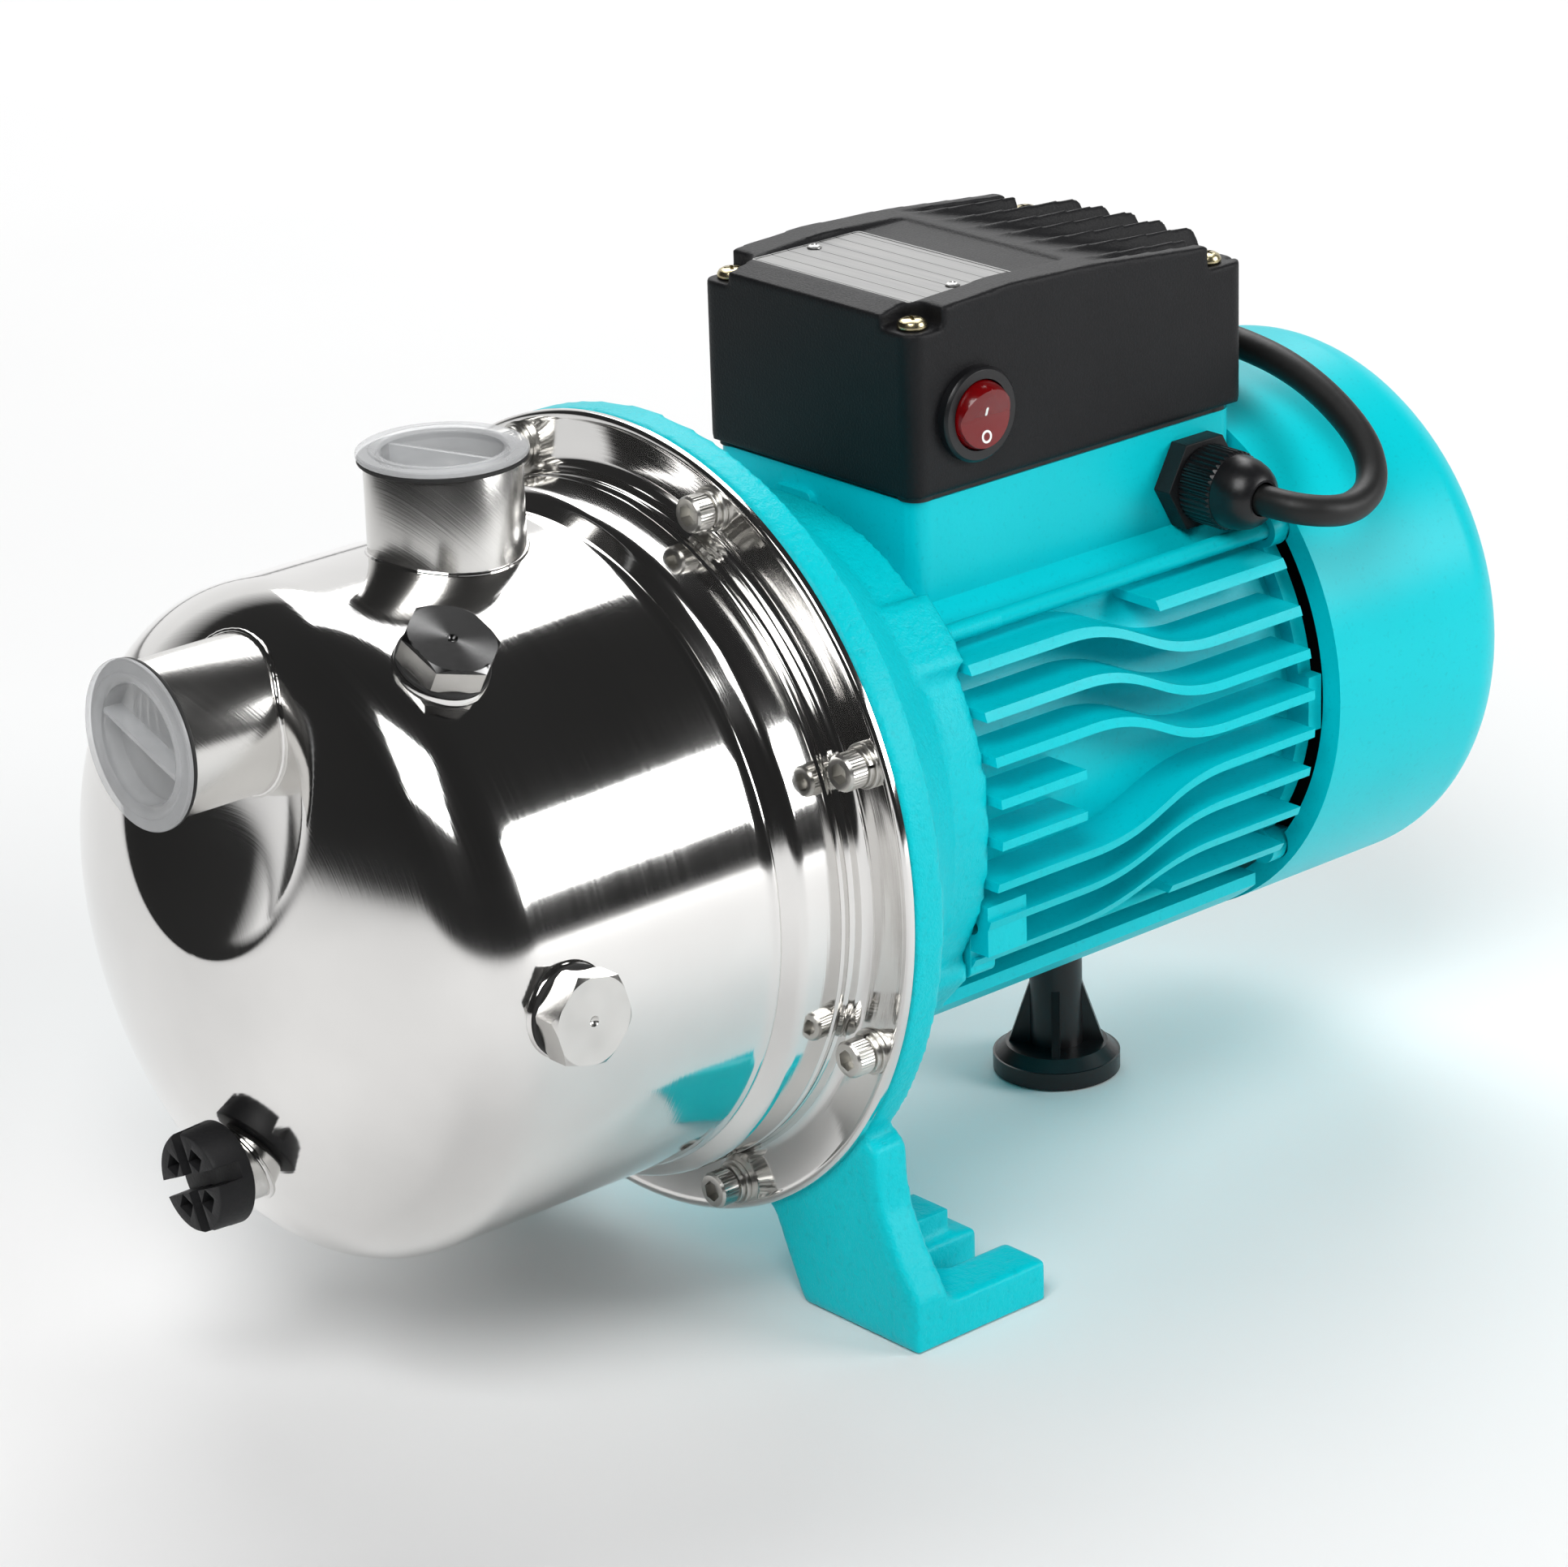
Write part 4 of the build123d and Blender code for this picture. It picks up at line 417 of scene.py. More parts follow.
# %% [markdown]
# Two clear plastics.  The transit caps are thin milky polyethylene, so a part of what lies behind
# shows through them: that is their alpha.  The rocker is clear red and lets the light into it.

# %% Clear plastics
moulding("milky_cap", (0.66, 0.67, 0.68), 0.10, 300.0, 0.08, Alpha=0.40)
moulding(
    "red_button", (0.26, 0.001, 0.003), 0.07, 300.0, 0.05, Transmission_Weight=0.45, IOR=1.49
)
print("clear plastics ready")

# %% [markdown]
# The rating plate is bare aluminium.  Its table is ruled but blank: a thin dark line every six
# millimetres, where the distance to the nearest row falls under the width of a line.

# %% Blank rating plate
def ruled_plate(name, pitch, line):
    """Brushed plate with a dark line every two pitches, all in metres."""
    here, set_varying = new_finish(name, Metallic=1.0)
    along = here.node("SeparateXYZ", None, {0: here})
    row = along.math("PINGPONG", along + 0.0002, pitch)
    ink = row.math("LESS_THAN", row, line)
    brushed = grain(here, 900.0, stretch=(1, 0.03, 1))
    metal = brushed.between(0.3, 0.7).blend(grey(0.21), colour(0.27, 0.27, 0.265))
    set_varying(
        Base_Color=ink.blend(metal, grey(0.04)),
        Roughness=brushed * 0.15 + 0.42,
        Normal=bump(brushed, 0.15, 0.00005),
    )


ruled_plate("ruled_plate", 0.0029, 0.00016)
print("plate ready")

# %% [markdown]
# A face that was turned on a lathe shows dark with a bright fan through its centre, because its
# fine rings mirror the light to two sides only.  Both are painted into the colour here: the face is
# a painted dark reflection, and the fan is a painted highlight, the cosine of the angle round the
# plug's axis raised to a power, and it sits only on the end face.

# %% Turned end face
def faced_metal(name, centre, out, across, end, turn):
    """Steel whose face, further than end along out, is painted dark with a painted highlight fan
    turned by that angle.
    """
    here, set_varying = new_finish(name, Metallic=1.0)
    up = Vector(out).normalized()
    side = Vector(across).normalized()
    middle = spot(*centre)

    def distance(direction):
        """How far the surface lies from the plug's middle that way."""
        return here.dot(direction) - middle.dot(direction)

    # Painted highlight: a bright fan in the colour, from the angle round the plug's axis.
    angle = here.math("ARCTAN2", distance(side), distance(up.cross(side)))
    fan = here.node("Math", {"operation": "COSINE"}, {0: angle + turn})
    fan = here.math("POWER", fan * fan, 5.0)
    face = here.math("GREATER_THAN", distance(up), end * MM)
    # The end face's colour: a painted dark reflection with the painted highlight fan across it.
    rings = fan.blend(grey(0.05), grey(0.30))
    scratches = grain(here, 420.0)
    set_varying(
        Base_Color=face.blend(colour(0.62, 0.61, 0.59), rings),
        Roughness=scratches * 0.12 + 0.18,
        Normal=bump(scratches, 0.15, 0.00005),
    )


faced_metal("faced_plug", (-92, 0, 0), (0, -0.5, 0.866), (1, 0, 0), 96.8, 0.6)
print(len(FINISHES), "finishes")

# %% [markdown]
# ## Modelling helpers
#
# Most pieces are turned, so `turned` spins an outline about local Z, and `prism` pulls an outline
# up.  `soften` bevels what is still sharp, `add` puts one mesh into another and `carved` cuts,
# joins or overlaps two closed ones.

# %% Shapes
def turned(outline, steps=96, closed=True):
    """Mesh of an outline of (radius, height) points spun about Z."""
    bm = bmesh.new()
    verts = [bm.verts.new((radius, 0, height)) for radius, height in outline]
    pairs = list(zip(verts, verts[1:]))
    if closed:
        pairs.append((verts[-1], verts[0]))
    edges = [bm.edges.new(pair) for pair in pairs]
    bmesh.ops.spin(
        bm, geom=verts + edges, cent=(0, 0, 0), axis=(0, 0, 1), dvec=(0, 0, 0),
        angle=2 * pi, steps=steps, use_merge=True, use_duplicate=False,
    )
    bmesh.ops.remove_doubles(bm, verts=bm.verts, dist=1e-4)
    bmesh.ops.recalc_face_normals(bm, faces=bm.faces)
    return bm


def soften(bm, width, angle=30.0, segments=2):
    """Round every edge that turns by more than the angle."""
    edges = [
        edge for edge in bm.edges
        if len(edge.link_faces) == 2 and edge.calc_face_angle(0) > radians(angle)
    ]
    bmesh.ops.bevel(
        bm, geom=edges, offset=width, offset_type="OFFSET", affect="EDGES", segments=segments,
        profile=0.5, material=-1, clamp_overlap=True,
    )
    return bm


def prism(points, height, start=0.0):
    """Flat outline in local X and Y pulled up to a height."""
    bm = bmesh.new()
    floor = bm.faces.new([bm.verts.new((x, y, start)) for x, y in points])
    lifted = bmesh.ops.extrude_face_region(bm, geom=[floor])["geom"]
    verts = [item for item in lifted if isinstance(item, bmesh.types.BMVert)]
    bmesh.ops.translate(bm, verts=verts, vec=(0, 0, height))
    bmesh.ops.recalc_face_normals(bm, faces=bm.faces)
    return bm


def toothed(count, radii, turn=0.0):
    """Outline of points round a circle whose radii repeat, turned by degrees."""
    angles = [2 * pi * n / count + radians(turn) for n in range(count)]
    return [
        (radii[n % len(radii)] * cos(angle), radii[n % len(radii)] * sin(angle))
        for n, angle in enumerate(angles)
    ]


def hexagon(inner_radius, turn):
    """Outline of a hexagon by the radius of its flats, turned by degrees."""
    return toothed(6, [inner_radius / cos(pi / 6)], turn)


def strip(half_width, half_length):
    """Outline of a plain rectangle about the origin."""
    return [
        (-half_width, -half_length), (half_width, -half_length),
        (half_width, half_length), (-half_width, half_length),
    ]


def rounded(width, depth, radius, count=6):
    """Outline of a rectangle with rounded corners."""
    points = []
    for number, (sx, sy) in enumerate(((1, 1), (-1, 1), (-1, -1), (1, -1))):
        for step in range(count + 1):
            turn = pi / 2 * (number + step / count)
            x = sx * (width / 2 - radius) + radius * cos(turn)
            y = sy * (depth / 2 - radius) + radius * sin(turn)
            points.append((x, y))
    return points


def add(bm, part, where=Matrix()):
    """Put a copy of another mesh, in its place, into this one."""
    scratch = bpy.data.meshes.new("scratch")
    part.to_mesh(scratch)
    scratch.transform(where)
    bm.from_mesh(scratch)
    bpy.data.meshes.remove(scratch)
    return bm


def take_result(bm, thing):
    """Fill the mesh with what an object looks like after its modifiers."""
    depsgraph = bpy.context.evaluated_depsgraph_get()
    result = bpy.data.meshes.new_from_object(thing.evaluated_get(depsgraph))
    bm.clear()
    bm.from_mesh(result)
    bpy.data.meshes.remove(result)
    return bm


def carved(bm, tool, operation="DIFFERENCE"):
    """The closed mesh after an exact cut, join or overlap with the closed tool."""
    things = []
    for shape in (bm, tool):
        mesh = bpy.data.meshes.new("carving")
        shape.to_mesh(mesh)
        things.append(linked("carving", mesh))
    cut = things[0].modifiers.new("cut", "BOOLEAN")
    cut.object, cut.operation, cut.solver = things[1], operation, "EXACT"
    take_result(bm, things[0])
    for thing in things:
        bpy.data.meshes.remove(thing.data)
    return bm


def cross(half_width, half_length, height, start, turn):
    """Two bars that cross, joined in one closed mesh that cuts a recess."""
    bars = bmesh.new()
    for angle in (turn, turn + 90):
        blade = prism(strip(half_width, half_length), height, start)
        add(bars, blade, turn_z(angle))
    return carved(bars, bars.copy(), "UNION")


def seal_ring(inner, outer, start, end, steps=128):
    """Flat ring whose outer edges are taken off."""
    return turned([
        (inner, start), (outer - 0.3, start), (outer, start + 0.28), (outer, end - 0.28),
        (outer - 0.3, end), (inner, end),
    ], steps)


print("corners of a hexagon", len(hexagon(1.0, 0)), "of a rounded plate", len(rounded(4, 3, 1)))

# %% [markdown]
# `piece` turns a mesh into an object of the frame, with a finish and a body.
# `dressed_copy` does that with a copy of a CAD node, once its edges are rounded: real edges always
# are, and they catch the light.  `paint` is for what stays as it is.

# %% Finished pieces
def body_of(node):
    """Name of the body that a CAD node belongs to."""
    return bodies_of(nodes[node])[0]


def slot_of(node):
    """Material slot that the record gives a CAD node."""
    rows = frame["record"]["subparts"]
    return next(row["material_slot"] for row in rows if row["node"] == node)


def piece(name, bm, finish, node, where=None, sharp=32.0, stands_in=True):
    """Make the mesh an object on the CAD node's body, to stand in for that node."""
    if where is not None:
        bmesh.ops.transform(bm, matrix=where, verts=bm.verts)
    mesh = bpy.data.meshes.new(name)
    bm.to_mesh(mesh)
    bm.free()
    mesh.shade_smooth()
    mesh.set_sharp_from_angle(angle=radians(sharp))
    mesh.materials.append(FINISHES[finish])
    thing = linked(name, mesh)
    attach(thing, body_of(node))
    slot_of(node)
    if stands_in:
        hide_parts(node)
    print(f"{name}: {len(mesh.polygons)} faces")
    return thing


def cad_copy(node, width, segments=2):
    """A merged copy of a CAD node's mesh with its flat faces whole and its edges rounded."""
    bm = bmesh.new()
    bm.from_mesh(nodes[node].data)
    bmesh.ops.remove_doubles(bm, verts=bm.verts, dist=2e-6)
    bmesh.ops.dissolve_limit(
        bm, angle_limit=radians(0.4), use_dissolve_boundaries=False, verts=bm.verts,
        edges=bm.edges, delimit=set(),
    )
    return soften(bm, width * MM, segments=segments)


def dressed_copy(node, finish, width, segments=2, sharp=30.0, extra=None):
    """A rounded copy that stands for the CAD node it was made from, flat faces kept flat."""
    bm = cad_copy(node, width, segments)
    if extra:
        extra(bm)
    thing = piece(node + "_dressed", bm, finish, node, sharp=sharp)
    even = thing.modifiers.new("even", "WEIGHTED_NORMAL")
    even.keep_sharp = True


def paint(node, finish):
    """Give a CAD node's own mesh its finish."""
    for holder in nodes[node].material_slots:
        holder.material = FINISHES[finish]


print("the shaft turns on", body_of("shaft"), "and is finished as", slot_of("shaft"))

# %% [markdown]
# ## Cord
#
# The cord is a round rubber mains lead.  It leaves the gland towards the near side, turns back
# round and over the fan cover and goes down the far side to a small coil on the floor.  It is one
# curve with the route's points.  The turns of the coil follow as more points, an outer and an
# inner turn on the floor and the same on top of them.

# %% Cord
CORD_RADIUS = 4.3
COIL_X, COIL_Y, COIL_STEP = 75.0, 165.0, 24
ROUTE = [
    (169.2, -61, 61.7), (169.4, -72.5, 61.2), (176.8, -81.2, 59.4), (189, -82.5, 57.6),
    (202, -78.5, 60.8), (209.5, -67, 70.5), (211.5, -42, 83), (210, -14, 88), (208, 14, 87.5),
    (205, 44, 76), (203, 72, 50), (200, 94, 12), (195, 107, -30), (188, 113, -68),
    (170, 117.5, -101), (139, 119, -117), (104, 118, -117),
]
# How the coil runs: degrees turned since its start, radius, height of the centreline.
COIL_STATIONS = [
    (0, 51.8, 4.3), (268, 51.8, 4.3), (328, 43.0, 4.3), (550, 43.0, 4.3), (600, 43.0, 13.0),
    (680, 43.0, 13.0), (740, 51.8, 13.0), (1050, 51.8, 13.0), (1110, 43.2, 13.0),
    (1150, 43.2, 13.2),
]
# The end of the cord, with its height above the floor, up onto the coil and into the plug.
TAIL = [
    (27.5, 186.0, 19.5), (42.0, 209.0, 27.5), (70.0, 222.5, 33.5), (101.0, 226.5, 35.6),
    (119.5, 219.0, 35.3), (122.0, 206.0, 35.3), (122.0, 188.0, 35.3),
]


def along(stations, turned_by):
    """Radius and height of the coil at that many degrees."""
    for (start, radius, height), (end, radius_end, height_end) in zip(stations, stations[1:]):
        if turned_by <= end:
            share = (turned_by - start) / (end - start)
            return radius + share * (radius_end - radius), height + share * (height_end - height)
    return stations[-1][1:]


coil = []
for turned_by in range(COIL_STEP // 2, 1151, COIL_STEP):
    radius, height = along(COIL_STATIONS, turned_by)
    angle = radians(-90 - turned_by)
    wide = radius / cos(radians(COIL_STEP / 2))
    coil.append((COIL_X + wide * cos(angle), COIL_Y + wide * sin(angle), height - SHAFT_HEIGHT))

cord_points = ROUTE + coil + [(x, y, z - SHAFT_HEIGHT) for x, y, z in TAIL]
line = bpy.data.curves.new("power_cord_line", "CURVE")
line.dimensions = "3D"
line.bevel_depth = CORD_RADIUS * MM
line.bevel_resolution = 7
line.resolution_u = 10
line.use_fill_caps = True
spline = line.splines.new("NURBS")
spline.points.add(len(cord_points) - 1)
for point, where in zip(spline.points, cord_points):
    point.co = (*spot(*where), 1.0)
spline.order_u = 3
spline.use_endpoint_u = True
line.materials.append(FINISHES["cord_rubber"])
power_cord = linked("power_cord_line", line)
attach(power_cord, "pump_unit")
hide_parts("power_cord", "cord_coil")
print("cord control points", len(cord_points))

# %% [markdown]
# The plug on the cord's end is a moulded two pin plug.  It lies on the coil, out of sight behind
# the motor.  Its body is turned and ribbed, and its tail tapers down onto the cord over 22 mm.

# %% Plug
plug_place = place((COIL_X + 47, COIL_Y + 17, 35.3 - SHAFT_HEIGHT), (0, -1, 0), (1, 0, 0))
body = turned([
    (0, -2), (8, -2), (14, 0), (17, 2), (18, 6), (18, 26), (17, 31), (14, 33.4), (0, 34),
], 96, False)
soften(body, 0.6, 20)
for radius, start, height in [(7.8, -5, 4), (7.2, -9, 3), (6.6, -13, 3), (6.1, -17, 3)]:
    end = start + height
    add(body, turned([(4.2, start), (radius, start + 0.4), (radius, end - 0.6), (4.2, end)], 64))
add(body, turned([(4.2, -22), (5.4, -21.5), (7.0, 0), (4.2, 0)], 64))
power_plug = piece("plug_body", body, "matt_black", "power_plug", plug_place)
pins = bmesh.new()
for side in (-9.5, 9.5):
    pin = turned([(0, 33), (2.4, 33), (2.4, 51.2), (1.7, 52.6), (0, 53)], 48, False)
    add(pins, pin, Matrix.Translation((side, 0, 0)))
plug_pins = piece("plug_pins", pins, "zinc_plate", "power_plug", plug_place, stands_in=False)
tuple(spot(*ROUTE[0]))

# %% [markdown]
# ## Casing
#
# The casing is one sheet of stainless steel, 2 mm thick, drawn into a barrel with a shallow dome.
# Spinning one outline of its outer and inner skin gives the barrel, the shoulder that centres on
# the seal plate and the screwed flange in a single closed mesh.

# %% Casing outline
def arc(centre_x, centre_radius, radius, start, end, count):
    """Points (radius, x) on an arc; angles in degrees from the front of the shaft outwards."""
    return [
        (centre_radius + radius * sin(radians(angle)), centre_x - radius * cos(radians(angle)))
        for angle in (start + (end - start) * n / count for n in range(count + 1))
    ]


BARREL, SHEET, CROWN, KNUCKLE = 88.2, 2.0, 156.0, 24.0
DOME_X, BARREL_END = 15.7, -27.5
KNUCKLE_X = DOME_X - sqrt((CROWN - KNUCKLE) ** 2 - (BARREL - KNUCKLE) ** 2)
BEND = degrees(atan2(BARREL - KNUCKLE, DOME_X - KNUCKLE_X))


def skin(offset, crown_steps, knuckle_steps, barrel_steps):
    """Dome, knuckle and barrel at a depth below the outer skin."""
    rings = arc(DOME_X, 0, CROWN - offset, 0, BEND, crown_steps)
    rings += arc(KNUCKLE_X, BARREL - KNUCKLE, KNUCKLE - offset, BEND, 90, knuckle_steps)[1:]
    length = BARREL_END - KNUCKLE_X
    rings += [
        (BARREL - offset, KNUCKLE_X + length * n / barrel_steps) for n in range(1, barrel_steps + 1)
    ]
    return rings


outside = skin(0, 52, 18, 34)
outside += [(88.6, -26.6), (88.9, -25.9), (88.8, -25.2), (88.6, -24.9)]
outside += arc(-18.8, 88.4, 4.6, 38, 90, 10)
outside += [(93.0, -9.2), (92.7, -8.9), (92.5, -8.4), (92.7, -7.9), (93.0, -7.6)]
outside += [(93.0, -6.4), (92.75, -6.1), (92.6, -5.7), (92.75, -5.3), (93.0, -5.0)]
outside += [(96.2 - 3.2 * cos(radians(a)), -3.2 + 3.2 * sin(radians(a))) for a in range(0, 91, 15)]
outside += [
    (105.6, 0), (106.3, -0.25), (107.0, -0.45), (107.8, -0.4), (108.4, 0.1), (108.5, 0.5),
    (108.5, 1.7), (108.2, 2.0),
]
inside = [(91.0, 2.0), (91.0, -19.0), (86.2, -24.5)] + list(reversed(skin(SHEET, 26, 9, 3)))
casing = turned(outside + inside, 288, False)
print("casing rings", len(outside), "outside", len(inside), "inside")

# %% [markdown]
# A shallow round dish is pressed into the dome behind the suction port.  It is part of a ball; a
# smooth maximum of the two surfaces rounds the dish's rim as the press does.

# %% Pressed dish
DISH, DISH_DEPTH, DISH_TILT = 80.0, 13.0, radians(14.7)
REACH = CROWN - DISH_DEPTH + DISH
DISH_X, DISH_Z = DOME_X - REACH * cos(DISH_TILT), REACH * sin(DISH_TILT)


def smooth_max(first, second, width):
    """The greater of two values, rounded over where they are close."""
    near = max(width - abs(first - second), 0.0) / width
    return max(first, second) + near * near * width / 4


def dome_x(y, z, depth=0.0):
    """How far forward the dome's skin is at that place, with the dish in it."""
    ball = sqrt(max((CROWN - depth) ** 2 - y * y - z * z, 0.0))
    pressed = sqrt(max((DISH + depth) ** 2 - y * y - (z - DISH_Z) ** 2, 0.0))
    return smooth_max(DOME_X - ball, DISH_X + pressed, 2.6)


moved = 0
for vert in casing.verts:
    y, z, x = vert.co
    if x < KNUCKLE_X - 20 and sqrt(y * y + z * z) < 74:
        depth = 0.0 if abs(sqrt((x - DOME_X) ** 2 + y * y + z * z) - CROWN) < 0.3 else SHEET
        new_x = dome_x(y, z, depth)
        moved += new_x - x > 0.01
        vert.co.z = new_x
print("dish moved", moved, "points")

# %% [markdown]
# Holes for the two ports, the two hexagon plugs, the drain and the eight flange screws are cut
# with closed cylinders, so the sheet shows its thickness in each hole.

# %% Casing holes
def bar(radius, start, end, where, steps=64):
    """A plain closed cylinder for cutting, along local Z of its place."""
    shape = turned([(0, start), (radius, start), (radius, end), (0, end)], steps, False)
    bmesh.ops.transform(shape, matrix=on_shaft().inverted() @ where, verts=shape.verts)
    return shape


SCREW_ANGLES = [22.5 + 45 * n for n in range(8)]


def bolt_place(angle, x):
    """Place of a flange screw: local Z runs forward."""
    y, z = 101 * cos(radians(angle)), 101 * sin(radians(angle))
    return place((x, y, z), (-1, 0, 0), (0, 1, 0))


holes = bmesh.new()
for shape in [
    bar(20.0, 0, 40, place((-149, 0, 60.6), (1, 0, 0), (0, 1, 0)), 96),
    bar(20.0, 70, 105, upright(-54.7, 0, 0), 96),
    bar(8.4, 70, 100, spoke(-92, 60, 0)),
    bar(8.4, 70, 100, spoke(-93, 0, 0)),
    bar(9.5, 0, 40, place((-149, 0, -57.8), (1, 0, 0), (0, 1, 0))),
] + [bar(3.25, -4, 4, bolt_place(angle, 1), 32) for angle in SCREW_ANGLES]:
    add(holes, shape)
carved(casing, holes)
print("casing after the cuts", len(casing.faces), "faces")

# %% [markdown]
# The tubes are welded straight into the sheet.  Each weld is a thin bead that follows the line
# where tube and casing meet.  The bosses for the hexagon plugs are low round lands.

# %% Lands and welds
def skinned(rings):
    """Mesh over rings of points, each joined to the next and the last to the first."""
    bm = bmesh.new()
    rows = [[bm.verts.new(point) for point in ring] for ring in rings]
    for lower, upper in list(zip(rows, rows[1:])) + [(rows[-1], rows[0])]:
        for number in range(len(lower)):
            after = (number + 1) % len(lower)
            bm.faces.new((lower[number], lower[after], upper[after], upper[number]))
    bmesh.ops.recalc_face_normals(bm, faces=bm.faces)
    return bm


TO_LOCAL = on_shaft().inverted() @ upright(0, 0, 0)
for x, angle in ((-92, 60), (-93, 0)):
    land = turned([
        (8.4, 85), (12.6, 85), (12.4, 88.2), (12.0, 88.8), (11.6, 88.9), (8.7, 88.9), (8.4, 88.6),
    ], 96)
    add(casing, land, on_shaft().inverted() @ spoke(x, angle, 0))


def bead(path, thickness, around=10):
    """Closed round bead along a closed path of points, a little uneven like a weld."""
    rings = []
    first = None
    for number, here in enumerate(path):
        ahead = (Vector(path[(number + 1) % len(path)]) - Vector(path[number - 1])).normalized()
        first = ahead.orthogonal() if first is None else ahead.cross(first).cross(ahead)
        first.normalize()
        second = ahead.cross(first)
        size = thickness * (1 + 0.06 * sin(number * 1.9) + 0.04 * sin(number * 0.7))
        rings.append([
            tuple(Vector(here) + size * (first * x + second * y)) for x, y in toothed(around, [1.0])
        ])
    return skinned(rings)


def dome_weld(radius, height, sunk, count):
    """Path where a tube of that radius, at that height, meets the dome."""
    points = [(y, height + z) for y, z in toothed(count, [radius])]
    return [(dome_x(y, z) - sunk, y, z) for y, z in points]


outlet_weld = [
    (-54.7 + x, y, sqrt(BARREL ** 2 - y ** 2)) for x, y in toothed(160, [20.2])
]
for path, thickness in (
    (dome_weld(20.3, 60.6, 0.15, 160), 0.75), (dome_weld(9.7, -57.8, 0.1, 96), 0.7),
    (outlet_weld, 0.55),
):
    add(casing, bead(path, thickness), TO_LOCAL)
piece("casing", casing, "mirror_stainless", "pump_casing", on_shaft(), 40)

# %% [markdown]
# The two ports are lengths of tube with an inch pipe thread cut inside.  The thread is modelled as
# rings at its true pitch, eleven to the inch, behind a plain counterbore at the mouth.

# %% Port sockets
def socket_mesh(length):
    """Threaded tube from its mouth at zero back to minus length."""
    outline = [
        (16.6, -length), (20, -length), (20, -0.5), (19.8, -0.15), (19.4, 0), (17.7, 0),
        (17.3, -0.4), (17.3, -6.0),
    ]
    pitch = 25.4 / 11
    height = -6.3
    while height - pitch > -length:
        outline += [
            (15.15, height - 0.35 * pitch), (15.15, height - 0.45 * pitch),
            (16.5, height - 0.95 * pitch),
        ]
        height -= pitch
    return turned(outline, 160)


SUCTION_MOUTH = place((-149, 0, 60.6), (-1, 0, 0), (0, -0.36, 1))
DISCHARGE_MOUTH = place((-54.7, 0, 110.8), (0, 0, 1), (1, 0.34, 0))
DRAIN_MOUTH = place((-134, 0, -57.8), (-1, 0, 0), (0, -1, 0))
nipple = turned([(6.3, -9), (9.5, -9), (9.5, -0.4), (9.1, 0), (6.6, 0), (6.3, -0.4)], 96)
for name, tube, node, mouth in (
    ("suction_tube", socket_mesh(33.0), "suction_socket", SUCTION_MOUTH),
    ("discharge_tube", socket_mesh(26.6), "discharge_socket", DISCHARGE_MOUTH),
    ("drain_tube", nipple, "drain_nipple", DRAIN_MOUTH),
):
    piece(name, tube, "satin_stainless", node, mouth)

# %% [markdown]
# The transit caps are blown from thin polyethylene: a flange that covers the mouth, a cup pushed
# inside and a bar across the cup to pull it out by.  Their rubber ring shows as a dark line.

# %% Transit caps
def cap_mesh():
    """Cap over a mouth at zero, with its flange from 1.2 to 2.8."""
    cup = turned([
        (0, -5.0), (15.6, -5.0), (16.6, -4.6), (17.0, -3.8), (17.0, 1.2), (21.2, 1.2), (21.7, 1.5),
        (21.8, 2.0), (21.7, 2.5), (21.3, 2.8), (18.6, 2.8), (18.2, 3.1), (17.6, 3.15), (16.6, 3.05),
        (15.9, 2.7), (15.45, 2.1), (15.4, -2.6), (15.1, -3.2), (14.4, -3.4), (0, -3.4),
    ], 160, False)
    return add(cup, soften(prism(strip(0.8, 15.7), 5.4, -3.6), 0.3))


for name, mouth in (("suction", SUCTION_MOUTH), ("discharge", DISCHARGE_MOUTH)):
    piece(name + "_transit_cap", cap_mesh(), "milky_cap", name + "_cap", mouth)
    ring = seal_ring(17.4, 21.5, 0.02, 1.18)
    piece(name + "_cap_ring", ring, "seal_rubber", name + "_cap_gasket", mouth)

# %% [markdown]
# The filler and gauge plugs are turned from hexagon bar.  The lathe leaves a 30 degree chamfer
# that cuts the corners to arcs, fine rings on the face and the pip of the centre drill.

# %% Hexagon plugs
def hexagon_plug():
    """Plug with its washer face at 90.4 and its shank going down to 80."""
    head = prism(hexagon(11.0, 30), 7.6, 90.4)
    lens = turned([
        (0, 90.4), (11.6, 90.4), (12.75, 91.1), (12.75, 96.9), (11.3, 98.0), (10.7, 98.0),
        (6.0, 98.0), (1.9, 98.0), (1.4, 98.0), (0.9, 97.4), (0, 96.9),
    ], 128, False)
    carved(head, lens, "INTERSECT")
    soften(head, 0.22, 24)
    groove = [(0, 80), (7.0, 80), (8.3, 81.2), (8.3, 82)]
    height = 82.0
    while height < 88:
        groove += [(8.3, height + 0.3), (7.3, height + 0.8), (8.3, height + 1.3)]
        height += 1.4
    return add(head, turned(groove + [(8.3, 90.5), (0, 90.5)], 96, False))


for name, x, angle, turn, finish in (
    ("filler_plug", -92, 60, 8, "faced_plug"), ("gauge_plug", -93, 0, 17, "turned_stainless"),
):
    where = spoke(x, angle, 0) @ turn_z(turn)
    piece(name + "_turned", hexagon_plug(), finish, name, where, 26)
    washer = seal_ring(8.4, 12.0, 88.92, 90.38)
    piece(name + "_ring", washer, "seal_rubber", name + "_washer", where)

# %% [markdown]
# The drain plug is a glass-filled moulding with a wide cross slot for a coin and four hollow lugs
# beside it.  Its head draws in slightly towards the face, as it has to leave the mould.

